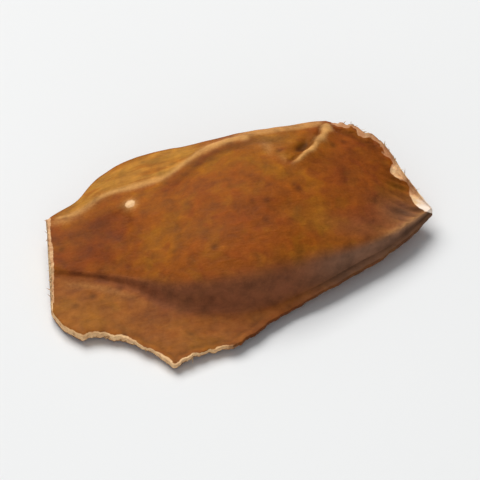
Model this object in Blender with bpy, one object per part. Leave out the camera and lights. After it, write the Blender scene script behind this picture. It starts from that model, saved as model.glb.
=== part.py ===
"""A mahogany seed with its long wing broken off, lying on its flatter side.

The seed is one piece: a low, wedge-like body with a broad domed face, a steep
wall along the front, a thin ragged flange at the foot of that wall, a thick
rounded back with a bevel, a broken left end and a sharp right tip with a torn
edge.

Every point of the skin follows from a station along the seed, 0 at the broken
end and 1 at the tip, and a place round the section at that station.  X runs
towards the tip, Y towards the thick back and Z up.  Lengths in the tables are
millimetres.
"""

import math

import bmesh
import bpy
import numpy as np

MM = 0.001

# Lines along the seed: station, x, y, z
FLANGE_EDGE = (
    (0.000, -16.85, -5.90, 0.95),
    (0.018, -16.15, -7.55, 0.90),
    (0.035, -15.45, -8.45, 0.85),
    (0.085, -13.60, -9.05, 0.85),
    (0.135, -12.00, -9.65, 0.80),
    (0.180, -10.55, -10.75, 0.75),
    (0.215, -9.50, -12.00, 0.70),
    (0.255, -8.20, -13.45, 0.65),
    (0.300, -6.80, -12.85, 0.80),
    (0.410, -3.10, -12.35, 0.85),
    (0.560, 1.60, -9.80, 1.00),
    (0.645, 4.40, -8.72, 1.20),
    (0.780, 8.60, -6.80, 1.50),
    (0.865, 11.30, -5.45, 1.75),
    (0.930, 13.50, -4.00, 2.00),
    (1.000, 15.60, -2.00, 2.05),
)
CREASE = (
    (0.00, -16.25, -2.45, 1.85),
    (0.16, -11.00, -4.70, 1.85),
    (0.21, -9.40, -5.90, 1.70),
    (0.27, -7.40, -8.00, 1.40),
    (0.37, -4.35, -8.95, 1.30),
    (0.44, -2.00, -9.45, 1.25),
    (0.52, 0.50, -9.20, 1.30),
    (0.64, 4.50, -7.95, 1.50),
    (0.77, 8.40, -6.20, 1.80),
    (0.88, 11.90, -4.75, 2.05),
    (1.00, 15.55, -1.92, 2.20),
)
SHOULDER = (
    (0.00, -16.20, -2.05, 2.35),
    (0.16, -11.00, -4.35, 2.50),
    (0.27, -7.40, -6.70, 3.35),
    (0.37, -4.15, -7.85, 4.10),
    (0.44, -1.75, -8.00, 4.40),
    (0.52, 0.80, -7.90, 4.45),
    (0.64, 4.65, -7.00, 3.90),
    (0.77, 8.60, -5.85, 3.15),
    (0.88, 11.75, -4.40, 2.80),
    (1.00, 15.50, -1.80, 2.38),
)
BACK_EDGE = (
    (0.000, -15.60, 2.95, 2.85),
    (0.100, -12.75, 4.10, 3.40),
    (0.160, -11.00, 5.55, 3.80),
    (0.240, -8.70, 6.40, 4.45),
    (0.330, -5.90, 6.70, 4.95),
    (0.420, -3.10, 6.65, 5.25),
    (0.560, 1.50, 6.65, 5.85),
    (0.680, 5.35, 6.75, 5.75),
    (0.780, 8.70, 7.05, 5.20),
    (0.840, 10.80, 6.25, 4.75),
    (0.890, 12.40, 5.00, 4.35),
    (0.925, 13.30, 3.60, 3.90),
    (0.955, 13.90, 1.40, 3.40),
    (0.980, 14.65, -0.45, 2.95),
    (1.000, 15.50, -1.60, 2.42),
)

# Ridge in front of the bevel: station, share of the way from shoulder to back, z
RIDGE = (
    (0.00, 0.93, 3.05),
    (0.08, 0.81, 3.50),
    (0.17, 0.75, 4.45),
    (0.27, 0.73, 5.20),
    (0.34, 0.75, 5.65),
    (0.40, 0.83, 5.95),
    (0.46, 0.90, 6.20),
    (0.52, 0.93, 6.30),
    (0.62, 0.94, 6.30),
    (0.76, 0.94, 5.70),
    (0.88, 0.93, 4.35),
    (1.00, 0.90, 2.45),
)

# Rise of the broad face above straight lines from shoulder to ridge: station, rise
CROWN_RISE = (
    (0.00, 0.10),
    (0.15, 0.30),
    (0.30, 0.60),
    (0.42, 1.10),
    (0.60, 1.35),
    (0.80, 0.85),
    (0.93, 0.15),
    (1.00, 0.00),
)

# Foot of the thick back: station, z
BACK_FOOT = (
    (0.00, 1.15),
    (0.25, 1.80),
    (0.55, 2.50),
    (0.78, 3.00),
    (0.90, 2.65),
    (1.00, 1.35),
)

# Lowest line of the belly: station, z
KEEL = (
    (0.00, 0.55),
    (0.15, 0.22),
    (0.32, 0.00),
    (0.62, 0.00),
    (0.80, 0.30),
    (0.92, 0.85),
    (1.00, 1.25),
)

# Flange: thickness, set-back of its lower edge, height added to the table above,
# gentle waves, torn outline
EDGE_THICKNESS = 0.68
EDGE_UNDERCUT = 0.28
EDGE_ROUNDING = 0.12
FLANGE_LIFT = 0.25
FLANGE_WAVE = 0.10
FLANGE_WAVES = 5
FLANGE_SETTLES = (0.75, 1.0)
FLANGE_TEAR = 0.17
FLANGE_TEAR_NEAR_TIP = 0.05
FLANGE_TEAR_WAVES = 17
FLANGE_TEAR_EASES = (0.35, 0.55)

# Back: bulge as a share of its height, torn stretch towards the tip
BACK_BULGE = 0.26
TORN_BACK_BEGINS = (0.76, 0.82)
TORN_BACK_ENDS = (0.96, 1.0)
TORN_BACK_TEAR = 0.22
TORN_BACK_WAVES = 17
TORN_BACK_LIP = 0.28
TORN_BACK_FLATTER = 0.6
TORN_BACK_TOWARDS_TIP = 0.5

# Dished stretch of the face near the tip: x and y, depth, size
TIP_DISH_AT = (12.6, -0.6)
TIP_DISH_DEPTH = 0.45
TIP_DISH_SIZE = 2.2

# Split in the face, from the back edge inwards, with a lip on the tip side
SPLIT_OUTER = (8.2, 6.4)
SPLIT_INNER = (4.7, 2.0)
SPLIT_DEPTH = 0.65
SPLIT_HALF_WIDTH = 0.55
SPLIT_LIP = 0.35
SPLIT_LIP_OFFSET = 0.94
SPLIT_OPENS = (-1.0, 0.6)
SPLIT_CLOSES = (-1.8, 0.4)

# Belly: share of the way from back to flange where it is lowest, how it curves
BELLY_LINE = 0.34
BELLY_BACK_POWER = 2.6
BELLY_FRONT_POWER = 1.7
FLAT_SPOT_CUT = 0.05

# Broken left end: hollow, roughness, rings from its middle outwards
BROKEN_HOLLOW = 0.30
BROKEN_ROUGHNESS = 0.14
BROKEN_RINGS = (0.0, 0.38, 0.72)
TIP_CAP = 0.12

# Columns of vertices round the section, from the flange edge over the top
COLUMNS = (
    ("flange", 6),
    ("wall", 5),
    ("crown", 18),
    ("bevel", 3),
    ("back", 4),
    ("belly", 15),
    ("edge", 2),
)
CROWN_CROWDING = 0.12
STATION_ROWS = 72
ROW_CROWDING = 1.3
ROW_CROWDING_AT = 0.72
ROW_CROWDING_WIDTH = 0.07

# Sines that make up uneven waves, and the sum that brings them to about 1
WAVE_PARTS = (0.45, 0.8, 1.0, 1.7)
WAVE_SUM = 2.4
CHANCE = 41
LEAST_WIDTH = 0.5

COAT_COLOR = (0.26, 0.085, 0.020)
COAT_ROUGHNESS = 0.55
SHARP_ANGLE = 55.0


def spline(station, table, column):
    """Smooth curve through one column of a table, at the given stations."""
    knots = np.array([row[0] for row in table])
    values = np.array([row[column] for row in table])
    widths = np.diff(knots)
    steps = np.diff(values) / widths
    slopes = np.empty_like(values)
    slopes[0] = steps[0]
    slopes[-1] = steps[-1]
    slopes[1:-1] = (steps[:-1] * widths[1:] + steps[1:] * widths[:-1]) / (widths[1:] + widths[:-1])
    place = np.clip(np.searchsorted(knots, station, side="right") - 1, 0, len(widths) - 1)
    share = (station - knots[place]) / widths[place]
    return hermite(share, values[place], values[place + 1],
                   slopes[place] * widths[place], slopes[place + 1] * widths[place])


def hermite(share, start, end, start_rise, end_rise):
    """Cubic from start to end with a given rise over the whole way at each."""
    rest = 1.0 - share
    blend = (1.0 + 2.0 * share) * rest ** 2
    return (blend * start + (1.0 - blend) * end
            + share * rest ** 2 * start_rise - share ** 2 * rest * end_rise)


def line(station, table):
    """Points of a lengthwise line as x, y and z."""
    return [spline(station, table, column) for column in (1, 2, 3)]


def waves(station, count, chance):
    """Uneven waves between about -1 and 1, from a few sines of chance phase."""
    draw = np.random.default_rng(chance)
    total = np.zeros_like(station)
    for part in WAVE_PARTS:
        phase = draw.uniform(0.0, 2.0 * math.pi)
        total = total + np.sin(2.0 * math.pi * count * part * station + phase)
    return total / WAVE_SUM


def fade(value, span):
    """Smooth rise from 0 at the start of a span to 1 at its end."""
    share = np.clip((value - span[0]) / (span[1] - span[0]), 0.0, 1.0)
    return share * share * (3.0 - 2.0 * share)


def between(start, end, share):
    """Straight way from one point to another."""
    return [a + (b - a) * share for a, b in zip(start, end)]


def split_height(x, y):
    """Height change of the split: a slot with a raised lip on the tip side."""
    reach_x = SPLIT_INNER[0] - SPLIT_OUTER[0]
    reach_y = SPLIT_INNER[1] - SPLIT_OUTER[1]
    length = math.hypot(reach_x, reach_y)
    along = ((x - SPLIT_OUTER[0]) * reach_x + (y - SPLIT_OUTER[1]) * reach_y) / length
    aside = ((y - SPLIT_OUTER[1]) * reach_x - (x - SPLIT_OUTER[0]) * reach_y) / length
    opened = fade(along, SPLIT_OPENS) * (1.0 - fade(along - length, SPLIT_CLOSES))
    slot = np.exp(-(aside / SPLIT_HALF_WIDTH) ** 2)
    lip = np.exp(-((aside - SPLIT_LIP_OFFSET) / SPLIT_HALF_WIDTH) ** 2)
    return opened * (SPLIT_LIP * lip - SPLIT_DEPTH * slot)


def dish_height(x, y):
    """Height change of the shallow dish near the tip."""
    distance = ((x - TIP_DISH_AT[0]) ** 2 + (y - TIP_DISH_AT[1]) ** 2) / TIP_DISH_SIZE ** 2
    return -TIP_DISH_DEPTH * np.exp(-distance)


def skin(station, part, share):
    """Points of the skin at the given stations, at a share of a part of the section."""
    edge = line(station, FLANGE_EDGE)
    tear = FLANGE_TEAR + (FLANGE_TEAR_NEAR_TIP - FLANGE_TEAR) * fade(station, FLANGE_TEAR_EASES)
    edge[1] = edge[1] - tear * waves(station, FLANGE_TEAR_WAVES, CHANCE)
    lift = FLANGE_LIFT + FLANGE_WAVE * waves(station, FLANGE_WAVES, CHANCE + 1)
    edge[2] = edge[2] + lift * (1.0 - fade(station, FLANGE_SETTLES))
    under_edge = [edge[0], edge[1] + EDGE_UNDERCUT, edge[2] - EDGE_THICKNESS]
    crease = line(station, CREASE)
    shoulder = line(station, SHOULDER)
    back = line(station, BACK_EDGE)
    torn = fade(station, TORN_BACK_BEGINS)
    back[1] = back[1] + torn * TORN_BACK_TEAR * waves(station, TORN_BACK_WAVES, CHANCE + 2)
    back[2] = back[2] + torn * TORN_BACK_LIP * (1.0 - fade(station, TORN_BACK_ENDS))
    foot = [back[0], back[1], spline(station, BACK_FOOT, 1)]
    ridge = between(shoulder, back, spline(station, RIDGE, 1))
    ridge[2] = spline(station, RIDGE, 2)
    rise = spline(station, CROWN_RISE, 1)

    if part == "flange":
        x, y, z = between(edge, crease, share)
    elif part == "wall":
        x, y, z = between(crease, shoulder, share)
        flange_width = np.hypot(crease[0] - edge[0], crease[1] - edge[1])
        wall_width = np.hypot(shoulder[0] - crease[0], shoulder[1] - crease[1])
        crown_width = np.hypot(ridge[0] - shoulder[0], ridge[1] - shoulder[1])
        flange_slope = (crease[2] - edge[2]) / np.maximum(flange_width, LEAST_WIDTH)
        crown_slope = (4.0 * rise + ridge[2] - shoulder[2]) / np.maximum(crown_width, LEAST_WIDTH)
        z = hermite(share, crease[2], shoulder[2],
                    wall_width * flange_slope, wall_width * crown_slope)
    elif part == "crown":
        x, y, z = between(shoulder, ridge, share)
        z = z + rise * 4.0 * share * (1.0 - share)
        z = z + dish_height(x, y) + split_height(x, y)
    elif part == "bevel":
        x, y, z = between(ridge, back, share)
        z = z + dish_height(x, y) + split_height(x, y)
    elif part == "back":
        x, y, z = between(back, foot, share)
        bulge = BACK_BULGE * (back[2] - foot[2]) * np.sin(math.pi * share)
        x = x + torn * TORN_BACK_TOWARDS_TIP * bulge
        y = y + (1.0 - torn * TORN_BACK_FLATTER) * bulge
    elif part == "belly":
        x, y, z = between(foot, under_edge, share)
        keel = spline(station, KEEL, 1)
        behind = np.clip(1.0 - share / BELLY_LINE, 0.0, 1.0)
        ahead = np.clip((share - BELLY_LINE) / (1.0 - BELLY_LINE), 0.0, 1.0)
        z = (keel - FLAT_SPOT_CUT
             + (foot[2] + FLAT_SPOT_CUT - keel) * behind ** BELLY_BACK_POWER
             + (under_edge[2] + FLAT_SPOT_CUT - keel) * ahead ** BELLY_FRONT_POWER)
        z = np.maximum(z, 0.0)
    else:
        x, y, z = between(under_edge, edge, share)
        y = y - EDGE_ROUNDING * np.sin(math.pi * share)
    return np.stack([x, y, z], axis=-1)


def station_rows():
    """Stations from 0 to 1, closer together where the split lies."""
    even = np.linspace(0.0, 1.0, 400)
    crowding = 1.0 + ROW_CROWDING * np.exp(-((even - ROW_CROWDING_AT) / ROW_CROWDING_WIDTH) ** 2)
    reached = np.concatenate([[0.0], np.cumsum(crowding[1:] + crowding[:-1])])
    return np.interp(np.linspace(0.0, reached[-1], STATION_ROWS), reached, even)


def skin_grid():
    """All points of the skin: rows from the broken end to the tip, columns round it."""
    stations = station_rows()
    columns = []
    for part, count in COLUMNS:
        for step in range(count):
            share = step / count
            if part == "crown":
                share = share + CROWN_CROWDING * math.sin(math.pi * share)
            columns.append(skin(stations, part, share))
    body = np.stack(columns, axis=1)
    rim = body[0]
    middle = rim.mean(axis=0)
    draw = np.random.default_rng(CHANCE + 3)
    rings = []
    for share in BROKEN_RINGS:
        ring = middle + (rim - middle) * share
        ring[:, 0] += BROKEN_HOLLOW * (1.0 - share)
        if share > 0.0:
            ring[:, 0] += BROKEN_ROUGHNESS * draw.uniform(-1.0, 1.0, len(ring))
        rings.append(ring)
    tip = body[-1].mean(axis=0) + np.array([TIP_CAP, 0.0, 0.0])
    cap = np.tile(tip, (body.shape[1], 1))
    return np.concatenate([np.stack(rings), body, cap[None]])


def centred(points):
    """Points moved so that the middle of their box stands over the origin, in metres."""
    low = points.min(axis=(0, 1))
    high = points.max(axis=(0, 1))
    origin = np.array([(low[0] + high[0]) / 2.0, (low[1] + high[1]) / 2.0, low[2]])
    return (points - origin) * MM


def make_material(name, color, roughness):
    """Plain surface of one colour and roughness."""
    material = bpy.data.materials.new(name)
    material.use_nodes = True
    shader = material.node_tree.nodes["Principled BSDF"]
    shader.inputs["Base Color"].default_value = (*color, 1.0)
    shader.inputs["Roughness"].default_value = roughness
    return material


def make_seed(collection):
    """The seed: a sphere with its poles at the two ends, each vertex moved to the skin."""
    points = centred(skin_grid())
    rows, turns = points.shape[:2]
    shape = bmesh.new()
    bmesh.ops.create_uvsphere(shape, u_segments=turns, v_segments=rows - 1, radius=1.0)
    for vertex in shape.verts:
        place = vertex.co
        height = max(-1.0, min(1.0, place.z))
        row = round((rows - 1) * math.acos(height) / math.pi)
        turn = round(turns * math.atan2(place.y, place.x) / (2.0 * math.pi)) % turns
        vertex.co = points[row, turn]
    bmesh.ops.triangulate(shape, faces=shape.faces[:], quad_method="FIXED")
    bmesh.ops.recalc_face_normals(shape, faces=shape.faces[:])
    mesh = bpy.data.meshes.new("seed")
    shape.to_mesh(mesh)
    shape.free()
    mesh.shade_smooth()
    mesh.set_sharp_from_angle(angle=math.radians(SHARP_ANGLE))
    mesh.materials.append(make_material("seed_coat", COAT_COLOR, COAT_ROUGHNESS))
    seed = bpy.data.objects.new("seed", mesh)
    collection.objects.link(seed)
    return seed


def main():
    """Clear the scene's objects and make the seed in a collection of its own."""
    for item in list(bpy.data.objects):
        bpy.data.objects.remove(item)
    collection = bpy.data.collections.new("mahogany_seed")
    bpy.context.scene.collection.children.link(collection)
    make_seed(collection)


main()
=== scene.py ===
"""A dewinged mahogany seed, dressed over its solid model.

The skin repeats the solid's lines on a fine grid and adds what the eye sees
close up: lengthwise swells and fibres, dents, a split with a lifted lip, rubbed
ridges, folds at the tip and torn edges where the pale inner layer shows.  Its
colour also holds painted light: painted shade in hollows and at the foot of the
front, painted highlights on the ridge, the bevel, the flange beside the crease
and the torn edges, and a painted reflection of the pale floor on the wall.  Loose
fibres and corky crumbs finish the torn places.  Lengths in the tables are
millimetres; the meshes are in metres.
"""

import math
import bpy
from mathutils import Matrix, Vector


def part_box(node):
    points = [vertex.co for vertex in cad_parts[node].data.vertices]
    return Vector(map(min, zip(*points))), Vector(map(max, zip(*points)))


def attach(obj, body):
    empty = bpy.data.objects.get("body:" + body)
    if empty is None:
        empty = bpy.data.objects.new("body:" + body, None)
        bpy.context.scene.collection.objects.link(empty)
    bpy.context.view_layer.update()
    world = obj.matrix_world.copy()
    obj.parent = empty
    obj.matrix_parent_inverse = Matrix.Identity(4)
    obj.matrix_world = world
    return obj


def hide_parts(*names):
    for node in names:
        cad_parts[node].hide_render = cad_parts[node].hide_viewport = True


bl_info = {
    "name": "Mahogany Seed",
    "version": (1, 0, 0),
    "blender": (4, 5, 0),
    "location": "View3D > Sidebar > Seed",
    "description": "Builds a dewinged mahogany seed with torn edges and a corky broken end",
    "category": "Add Mesh",
}

import bpy
import numpy as np

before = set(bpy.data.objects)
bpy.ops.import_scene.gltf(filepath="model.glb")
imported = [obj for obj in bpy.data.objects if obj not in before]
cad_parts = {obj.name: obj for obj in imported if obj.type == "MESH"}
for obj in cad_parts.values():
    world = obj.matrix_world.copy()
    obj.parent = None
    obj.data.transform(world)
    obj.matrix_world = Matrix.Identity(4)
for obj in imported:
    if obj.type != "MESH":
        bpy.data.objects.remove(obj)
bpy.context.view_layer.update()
SEED_LOW, SEED_HIGH = (np.array(corner, float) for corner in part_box("seed"))

MM = 0.001
NODE = "seed"
BODY = "root"

# Place in the tables of the frame's origin: the middle of the solid's box, on the ground
SOLID_MIDDLE = (-0.5974, -2.9092, 0.0)

# In the tables x runs from the broken end to the tip, y from the flange to the back and
# z up.  A station is the share of the way along the seed, 0 at the broken end and 1 at
# the tip.  Over a pair of numbers something eases in or out, between two stations
# unless the comment says otherwise, and a span is one such pair for each of its ends.

# Lines along the seed, from the flange's torn edge to the back: station, x, y, z
FLANGE_EDGE = (
    (0.000, -16.85, -5.90, 0.95),
    (0.018, -16.15, -7.55, 0.90),
    (0.035, -15.45, -8.45, 0.85),
    (0.085, -13.60, -9.05, 0.85),
    (0.135, -12.00, -9.65, 0.80),
    (0.180, -10.55, -10.75, 0.75),
    (0.215, -9.50, -12.00, 0.70),
    (0.255, -8.20, -13.45, 0.65),
    (0.300, -6.80, -12.85, 0.80),
    (0.410, -3.10, -12.35, 0.85),
    (0.560, 1.60, -9.80, 1.00),
    (0.645, 4.40, -8.72, 1.20),
    (0.780, 8.60, -6.80, 1.50),
    (0.865, 11.30, -5.45, 1.75),
    (0.930, 13.50, -4.00, 2.00),
    (1.000, 15.60, -2.00, 2.05),
)
CREASE = (
    (0.00, -16.25, -2.45, 1.85),
    (0.16, -11.00, -4.70, 1.85),
    (0.21, -9.40, -5.90, 1.70),
    (0.27, -7.40, -8.00, 1.40),
    (0.37, -4.35, -8.95, 1.30),
    (0.44, -2.00, -9.45, 1.25),
    (0.52, 0.50, -9.20, 1.30),
    (0.64, 4.50, -7.95, 1.50),
    (0.77, 8.40, -6.20, 1.80),
    (0.88, 11.90, -4.75, 2.05),
    (1.00, 15.55, -1.92, 2.20),
)
SHOULDER = (
    (0.00, -16.20, -2.05, 2.35),
    (0.16, -11.00, -4.35, 2.50),
    (0.27, -7.40, -6.70, 3.35),
    (0.37, -4.15, -7.85, 4.10),
    (0.44, -1.75, -8.00, 4.40),
    (0.52, 0.80, -7.90, 4.45),
    (0.64, 4.65, -7.00, 3.90),
    (0.77, 8.60, -5.85, 3.15),
    (0.88, 11.75, -4.40, 2.80),
    (1.00, 15.50, -1.80, 2.38),
)
BACK_EDGE = (
    (0.000, -15.60, 2.95, 2.85),
    (0.100, -12.75, 4.10, 3.40),
    (0.160, -11.00, 5.55, 3.80),
    (0.240, -8.70, 6.40, 4.45),
    (0.330, -5.90, 6.70, 4.95),
    (0.420, -3.10, 6.65, 5.25),
    (0.560, 1.50, 6.65, 5.85),
    (0.680, 5.35, 6.75, 5.75),
    (0.780, 8.70, 7.05, 5.20),
    (0.840, 10.80, 6.25, 4.75),
    (0.890, 12.40, 5.00, 4.35),
    (0.925, 13.30, 3.60, 3.90),
    (0.955, 13.90, 1.40, 3.40),
    (0.980, 14.65, -0.45, 2.95),
    (1.000, 15.50, -1.60, 2.42),
)

# Ridge in front of the bevel: station, share of the way from shoulder to back, z
RIDGE = (
    (0.00, 0.93, 3.05),
    (0.08, 0.81, 3.50),
    (0.17, 0.75, 4.45),
    (0.27, 0.73, 5.20),
    (0.34, 0.75, 5.65),
    (0.40, 0.83, 5.95),
    (0.46, 0.90, 6.20),
    (0.52, 0.93, 6.30),
    (0.62, 0.94, 6.30),
    (0.76, 0.94, 5.70),
    (0.88, 0.93, 4.35),
    (1.00, 0.90, 2.45),
)

# Rise of the broad face above straight lines from shoulder to ridge: station, rise
CROWN_RISE = (
    (0.00, 0.10),
    (0.15, 0.30),
    (0.30, 0.60),
    (0.42, 1.10),
    (0.60, 1.35),
    (0.80, 0.85),
    (0.93, 0.15),
    (1.00, 0.00),
)

# Foot of the thick back: station, z
BACK_FOOT = (
    (0.00, 1.15),
    (0.25, 1.80),
    (0.55, 2.50),
    (0.78, 3.00),
    (0.90, 2.65),
    (1.00, 1.35),
)

# Lowest line of the belly: station, z
KEEL = (
    (0.00, 0.55),
    (0.15, 0.22),
    (0.32, 0.00),
    (0.62, 0.00),
    (0.80, 0.30),
    (0.92, 0.85),
    (1.00, 1.25),
)

# Edge of the flange: thickness, set-back of its lower line, rounding between the two
EDGE_THICKNESS = 0.68
EDGE_UNDERCUT = 0.28
EDGE_ROUNDING = 0.12

# Flange: height added to its table, gentle waves, and where both die away
FLANGE_LIFT = 0.25
FLANGE_WAVE = 0.10
FLANGE_WAVES = 5
FLANGE_SETTLES = (0.75, 1.0)

# Torn outline of the flange: depth at the broken end and at the tip, where the one
# eases into the other, number of waves
FLANGE_TEAR = 0.17
FLANGE_TEAR_NEAR_TIP = 0.05
FLANGE_TEAR_EASES = (0.35, 0.55)
FLANGE_TEAR_WAVES = 17

# Back: bulge as a share of its height.  Its torn stretch: depth and number of waves,
# height of the lip, how much flatter it bulges and how far towards the tip instead
BACK_BULGE = 0.26
TORN_BACK_BEGINS = (0.76, 0.82)
TORN_BACK_ENDS = (0.96, 1.0)
TORN_BACK_TEAR = 0.22
TORN_BACK_WAVES = 17
TORN_BACK_LIP = 0.28
TORN_BACK_FLATTER = 0.6
TORN_BACK_TOWARDS_TIP = 0.5

# Dished stretch of the face near the tip: middle, half length and width, depth
TIP_DISH_AT = (12.6, -0.6)
TIP_DISH_SIZE = (2.2, 2.2)
TIP_DISH_DEPTH = 0.45

# Belly: share of the way from back to flange where it is lowest, powers of its two
# curves, depth of the cut that makes the flat spot
BELLY_LINE = 0.34
BELLY_BACK_POWER = 2.6
BELLY_FRONT_POWER = 1.7
FLAT_SPOT_CUT = 0.05

# Length of the pointed cap at the tip
TIP_CAP = 0.12

# Least width between two lines over which a slope is worked out
LEAST_WIDTH = 0.5

# Uneven waves: the sines in them, as shares of the number asked for, and the sum that
# brings them to about 1.  Finer waves of torn lines: share of the large, times as many
WAVE_PARTS = (0.45, 0.8, 1.0, 1.7)
WAVE_SUM = 2.4
FINE_TEAR = 0.35
FINE_WAVES = 3.3

# Chance numbers of everything that is left to chance once
CHANCE = {
    "front tear": 41,
    "front fine tear": 46,
    "flange waves": 42,
    "back tear": 43,
    "back fine tear": 47,
    "dents": 16,
    "torn grain": 17,
    "tip ribs": 24,
    "ridge width": 25,
    "ridge rub and highlight": 26,
    "lip height": 27,
    "lip rub": 28,
    "crumb lumps": 31,
    "fibres": 91,
    "crumbs": 111,
}

# Chance lattice: weight of each axis, factor and addend of the chance number, and the
# shifts and factors that stir the sum
LATTICE_WEIGHTS = (374761393, 668265263, 2246822519)
LATTICE_START = (7919, 17)
LATTICE_STIRRING = ((13, 1274126177), (16, 2654435769), (15, 1))

# Fine grid: rows along the seed, rings on the broken end, columns round the section
STATION_ROWS = 342
END_RINGS = 14
COLUMNS = {
    "flange": 44,
    "wall": 28,
    "crown": 114,
    "bevel": 18,
    "back": 22,
    "belly": 34,
    "edge": 8,
}
ALL_COLUMNS = sum(COLUMNS.values())

# Part of the section that starts at each line along the seed
STARTS_AT = {"edge": "flange", "crease": "wall", "shoulder": "crown", "ridge": "bevel", "back": "back"}

# Rounding of the section: line, columns it reaches to each side, how often it is smoothed
ROUNDED_LINES = (
    ("crease", 14, 90),
    ("shoulder", 10, 50),
    ("ridge", 3, 4),
)

# Rows to each side within which the distance to a line is looked for, and the square of
# a distance that counts as far from it
NEAR_ROWS = 26
FAR = 99.0

# Swells, fibres and flecks of the whole coat, wrinkles and folds of single parts of the
# section: where, size along and across the seed, height, chance number
COAT_RELIEF = (
    ("all", 7.0, 2.8, 0.080, 11),
    ("all", 2.8, 1.6, 0.055, 12),
    ("all", 2.4, 0.42, 0.008, 13),
    ("all", 1.5, 0.26, 0.005, 14),
    ("all", 0.90, 0.75, 0.018, 18),
    ("wall", 0.8, 2.5, 0.030, 15),
    ("back", 9.0, 1.1, 0.050, 19),
    ("belly", 9.0, 1.1, 0.050, 19),
    ("bevel", 9.0, 0.8, 0.060, 20),
)
# Dents: size and depth, and the height of the chance lumps over which one deepens
DENT_SIZE = 3.4
DENT_DEPTH = 0.11
DENTS_FROM = (0.45, 0.85)

# Every torn place: lumps that make its line uneven as size, share and chance number,
# softness of the line, step down to the inner layer, height and size of its grain,
# share of the coat's relief that it lacks
TEAR_LUMPS = ((0.9, 1.0, 3), (0.35, 0.6, 4))
TEAR_SOFTNESS = (-0.14, 0.10)
TEAR_STEP = 0.04
TEAR_ROUGHNESS = 0.03
TEAR_GRAIN = 0.3
TEAR_SMOOTHER = 0.7

# Torn front edge: pale width on top and its unevenness, stations over which it ends,
# share of the way up the edge face where it turns pale and its unevenness
FRONT_PALE = 0.10
FRONT_UNEVEN = 0.12
FRONT_PALE_ENDS = (0.34, 0.46)
EDGE_FACE_PALE = (0.0, 0.30)
EDGE_FACE_UNEVEN = 0.2

# Broken rim: pale width and its unevenness
RIM_PALE = 0.25
RIM_UNEVEN = 0.12

# Torn back: pale width and its unevenness, stations over which it begins, how much
# softer its line is for each millimetre that a place is wider
BACK_PALE = 0.43
BACK_UNEVEN = 0.21
BACK_PALE_BEGINS = (0.77, 0.81)
BACK_SOFTER = 1.3
# Its wider and narrower places: station, reach, added width
BACK_WIDER = (
    (0.815, 0.50, 0.12),
    (0.870, 0.80, 0.10),
    (0.951, 0.72, 0.95),
    (0.9695, 0.28, -0.60),
    (0.990, 1.05, 0.66),
)

# Dry pale tissue with a painted highlight on it: stretches of the torn back as
# station, reach and dryness, dryness and width along the rim and the front edge, and
# how softly those two end
BACK_DRY_GLINT = ((0.865, 2.60, 0.12), (0.950, 0.95, 0.60), (1.0, 1.60, 1.10))
RIM_DRY_GLINT = (0.24, 0.75)
FRONT_DRY_GLINT = (0.42, 1.2)
DRY_GLINT_SOFTNESS = (0.0, 0.3)

# Groove inside the torn back: distance from the edge, half width, depth, shade
BACK_GROOVE = (0.95, 0.45, 0.08, 0.35)

# Thin line along the front edge: distance inside it, half width, depth, shade, stations
EDGE_LINE = (0.62, 0.22, 0.045, 0.30)
EDGE_LINE_SPAN = ((0.12, 0.2), (0.46, 0.54))

# Painted highlight on the flange's lit upper side beside the crease: distance, half width, strength, stations
CREASE_HIGHLIGHT = (0.50, 0.38, 0.24)
CREASE_HIGHLIGHT_SPAN = ((0.0, 0.05), (0.12, 0.27))

# Rubbed ridge with a painted highlight along it: half width, height, strength of
# rub and highlight, stations.  Lumps in its width and in that strength as size and
# share, with the share of it that is always there
RIDGE_RUB_AND_HIGHLIGHT = (0.42, 0.02, 0.9)
RIDGE_RUB_AND_HIGHLIGHT_SPAN = ((0.0, 0.05), (0.56, 0.66))
RIDGE_WIDTH_LUMPS = (1.6, 0.45)
RIDGE_RUB_AND_HIGHLIGHT_LUMPS = (2.2, 0.30, 0.80)
# Rubbed band of ridge and bevel further on: half width before the ridge, rub, stations
RIM_BAND = (0.3, 0.55)
RIM_BAND_SPAN = ((0.50, 0.57), (0.75, 0.79))
# Hollow in front of the ridge: distance, half width, depth, shade, stations
RIDGE_HOLLOW = (1.10, 0.60, 0.10, 0.5)
RIDGE_HOLLOW_SPAN = ((0.28, 0.38), (0.60, 0.72))

# Lip of the split: line from the back edge inwards, its bow, its wobble as height, turn
# for each millimetre and phase, where it opens along the line, where it closes past
# the line's end, half width, height, roughness as height and lump size
LIP_OUTER = (8.60, 6.20)
LIP_INNER = (4.75, 1.50)
LIP_BOW = 0.38
LIP_WOBBLE = ((0.04, 3.1, 0.0), (0.02, 7.3, 1.0))
LIP_OPENS = (-0.6, 0.4)
LIP_CLOSES = (-0.5, 0.6)
LIP_WIDTH = 0.25
LIP_RISE = 0.18
LIP_ROUGHNESS = (0.04, 0.5)
# Wider knobs of the lip: distance along it, half length, share added to the width
LIP_KNOBS = ((0.45, 0.55, 1.2), (2.05, 0.55, 0.9), (3.9, 0.60, 0.35))
# Rub of the lip: usual strength, more on the knobs, less towards the inner end and
# where along the line that sets in, lump size and share
LIP_RUB = 0.80
LIP_KNOB_RUB = 0.38
LIP_DULLER = 0.15
LIP_DULLS = (2.4, 5.2)
LIP_RUB_LUMPS = (0.7, 0.25)
# Loose flap beyond the lip: distance from the line, half width, height
FLAP = (0.35, 0.60, 0.16)
# Slot on this side of it: distance from the line, half width, depth, shade
SLOT = (0.42, 0.17, 0.16, 0.45)
# Open pocket: place along and beside the line, half length and width, depth, shade,
# and how deep in it the shade starts and is full
POCKET_AT = (3.75, -0.80)
POCKET_SIZE = (1.05, 0.43)
POCKET_DEPTH = 0.40
POCKET_SHADE = 0.85
POCKET_DARK_FROM = (0.10, 0.90)

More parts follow.
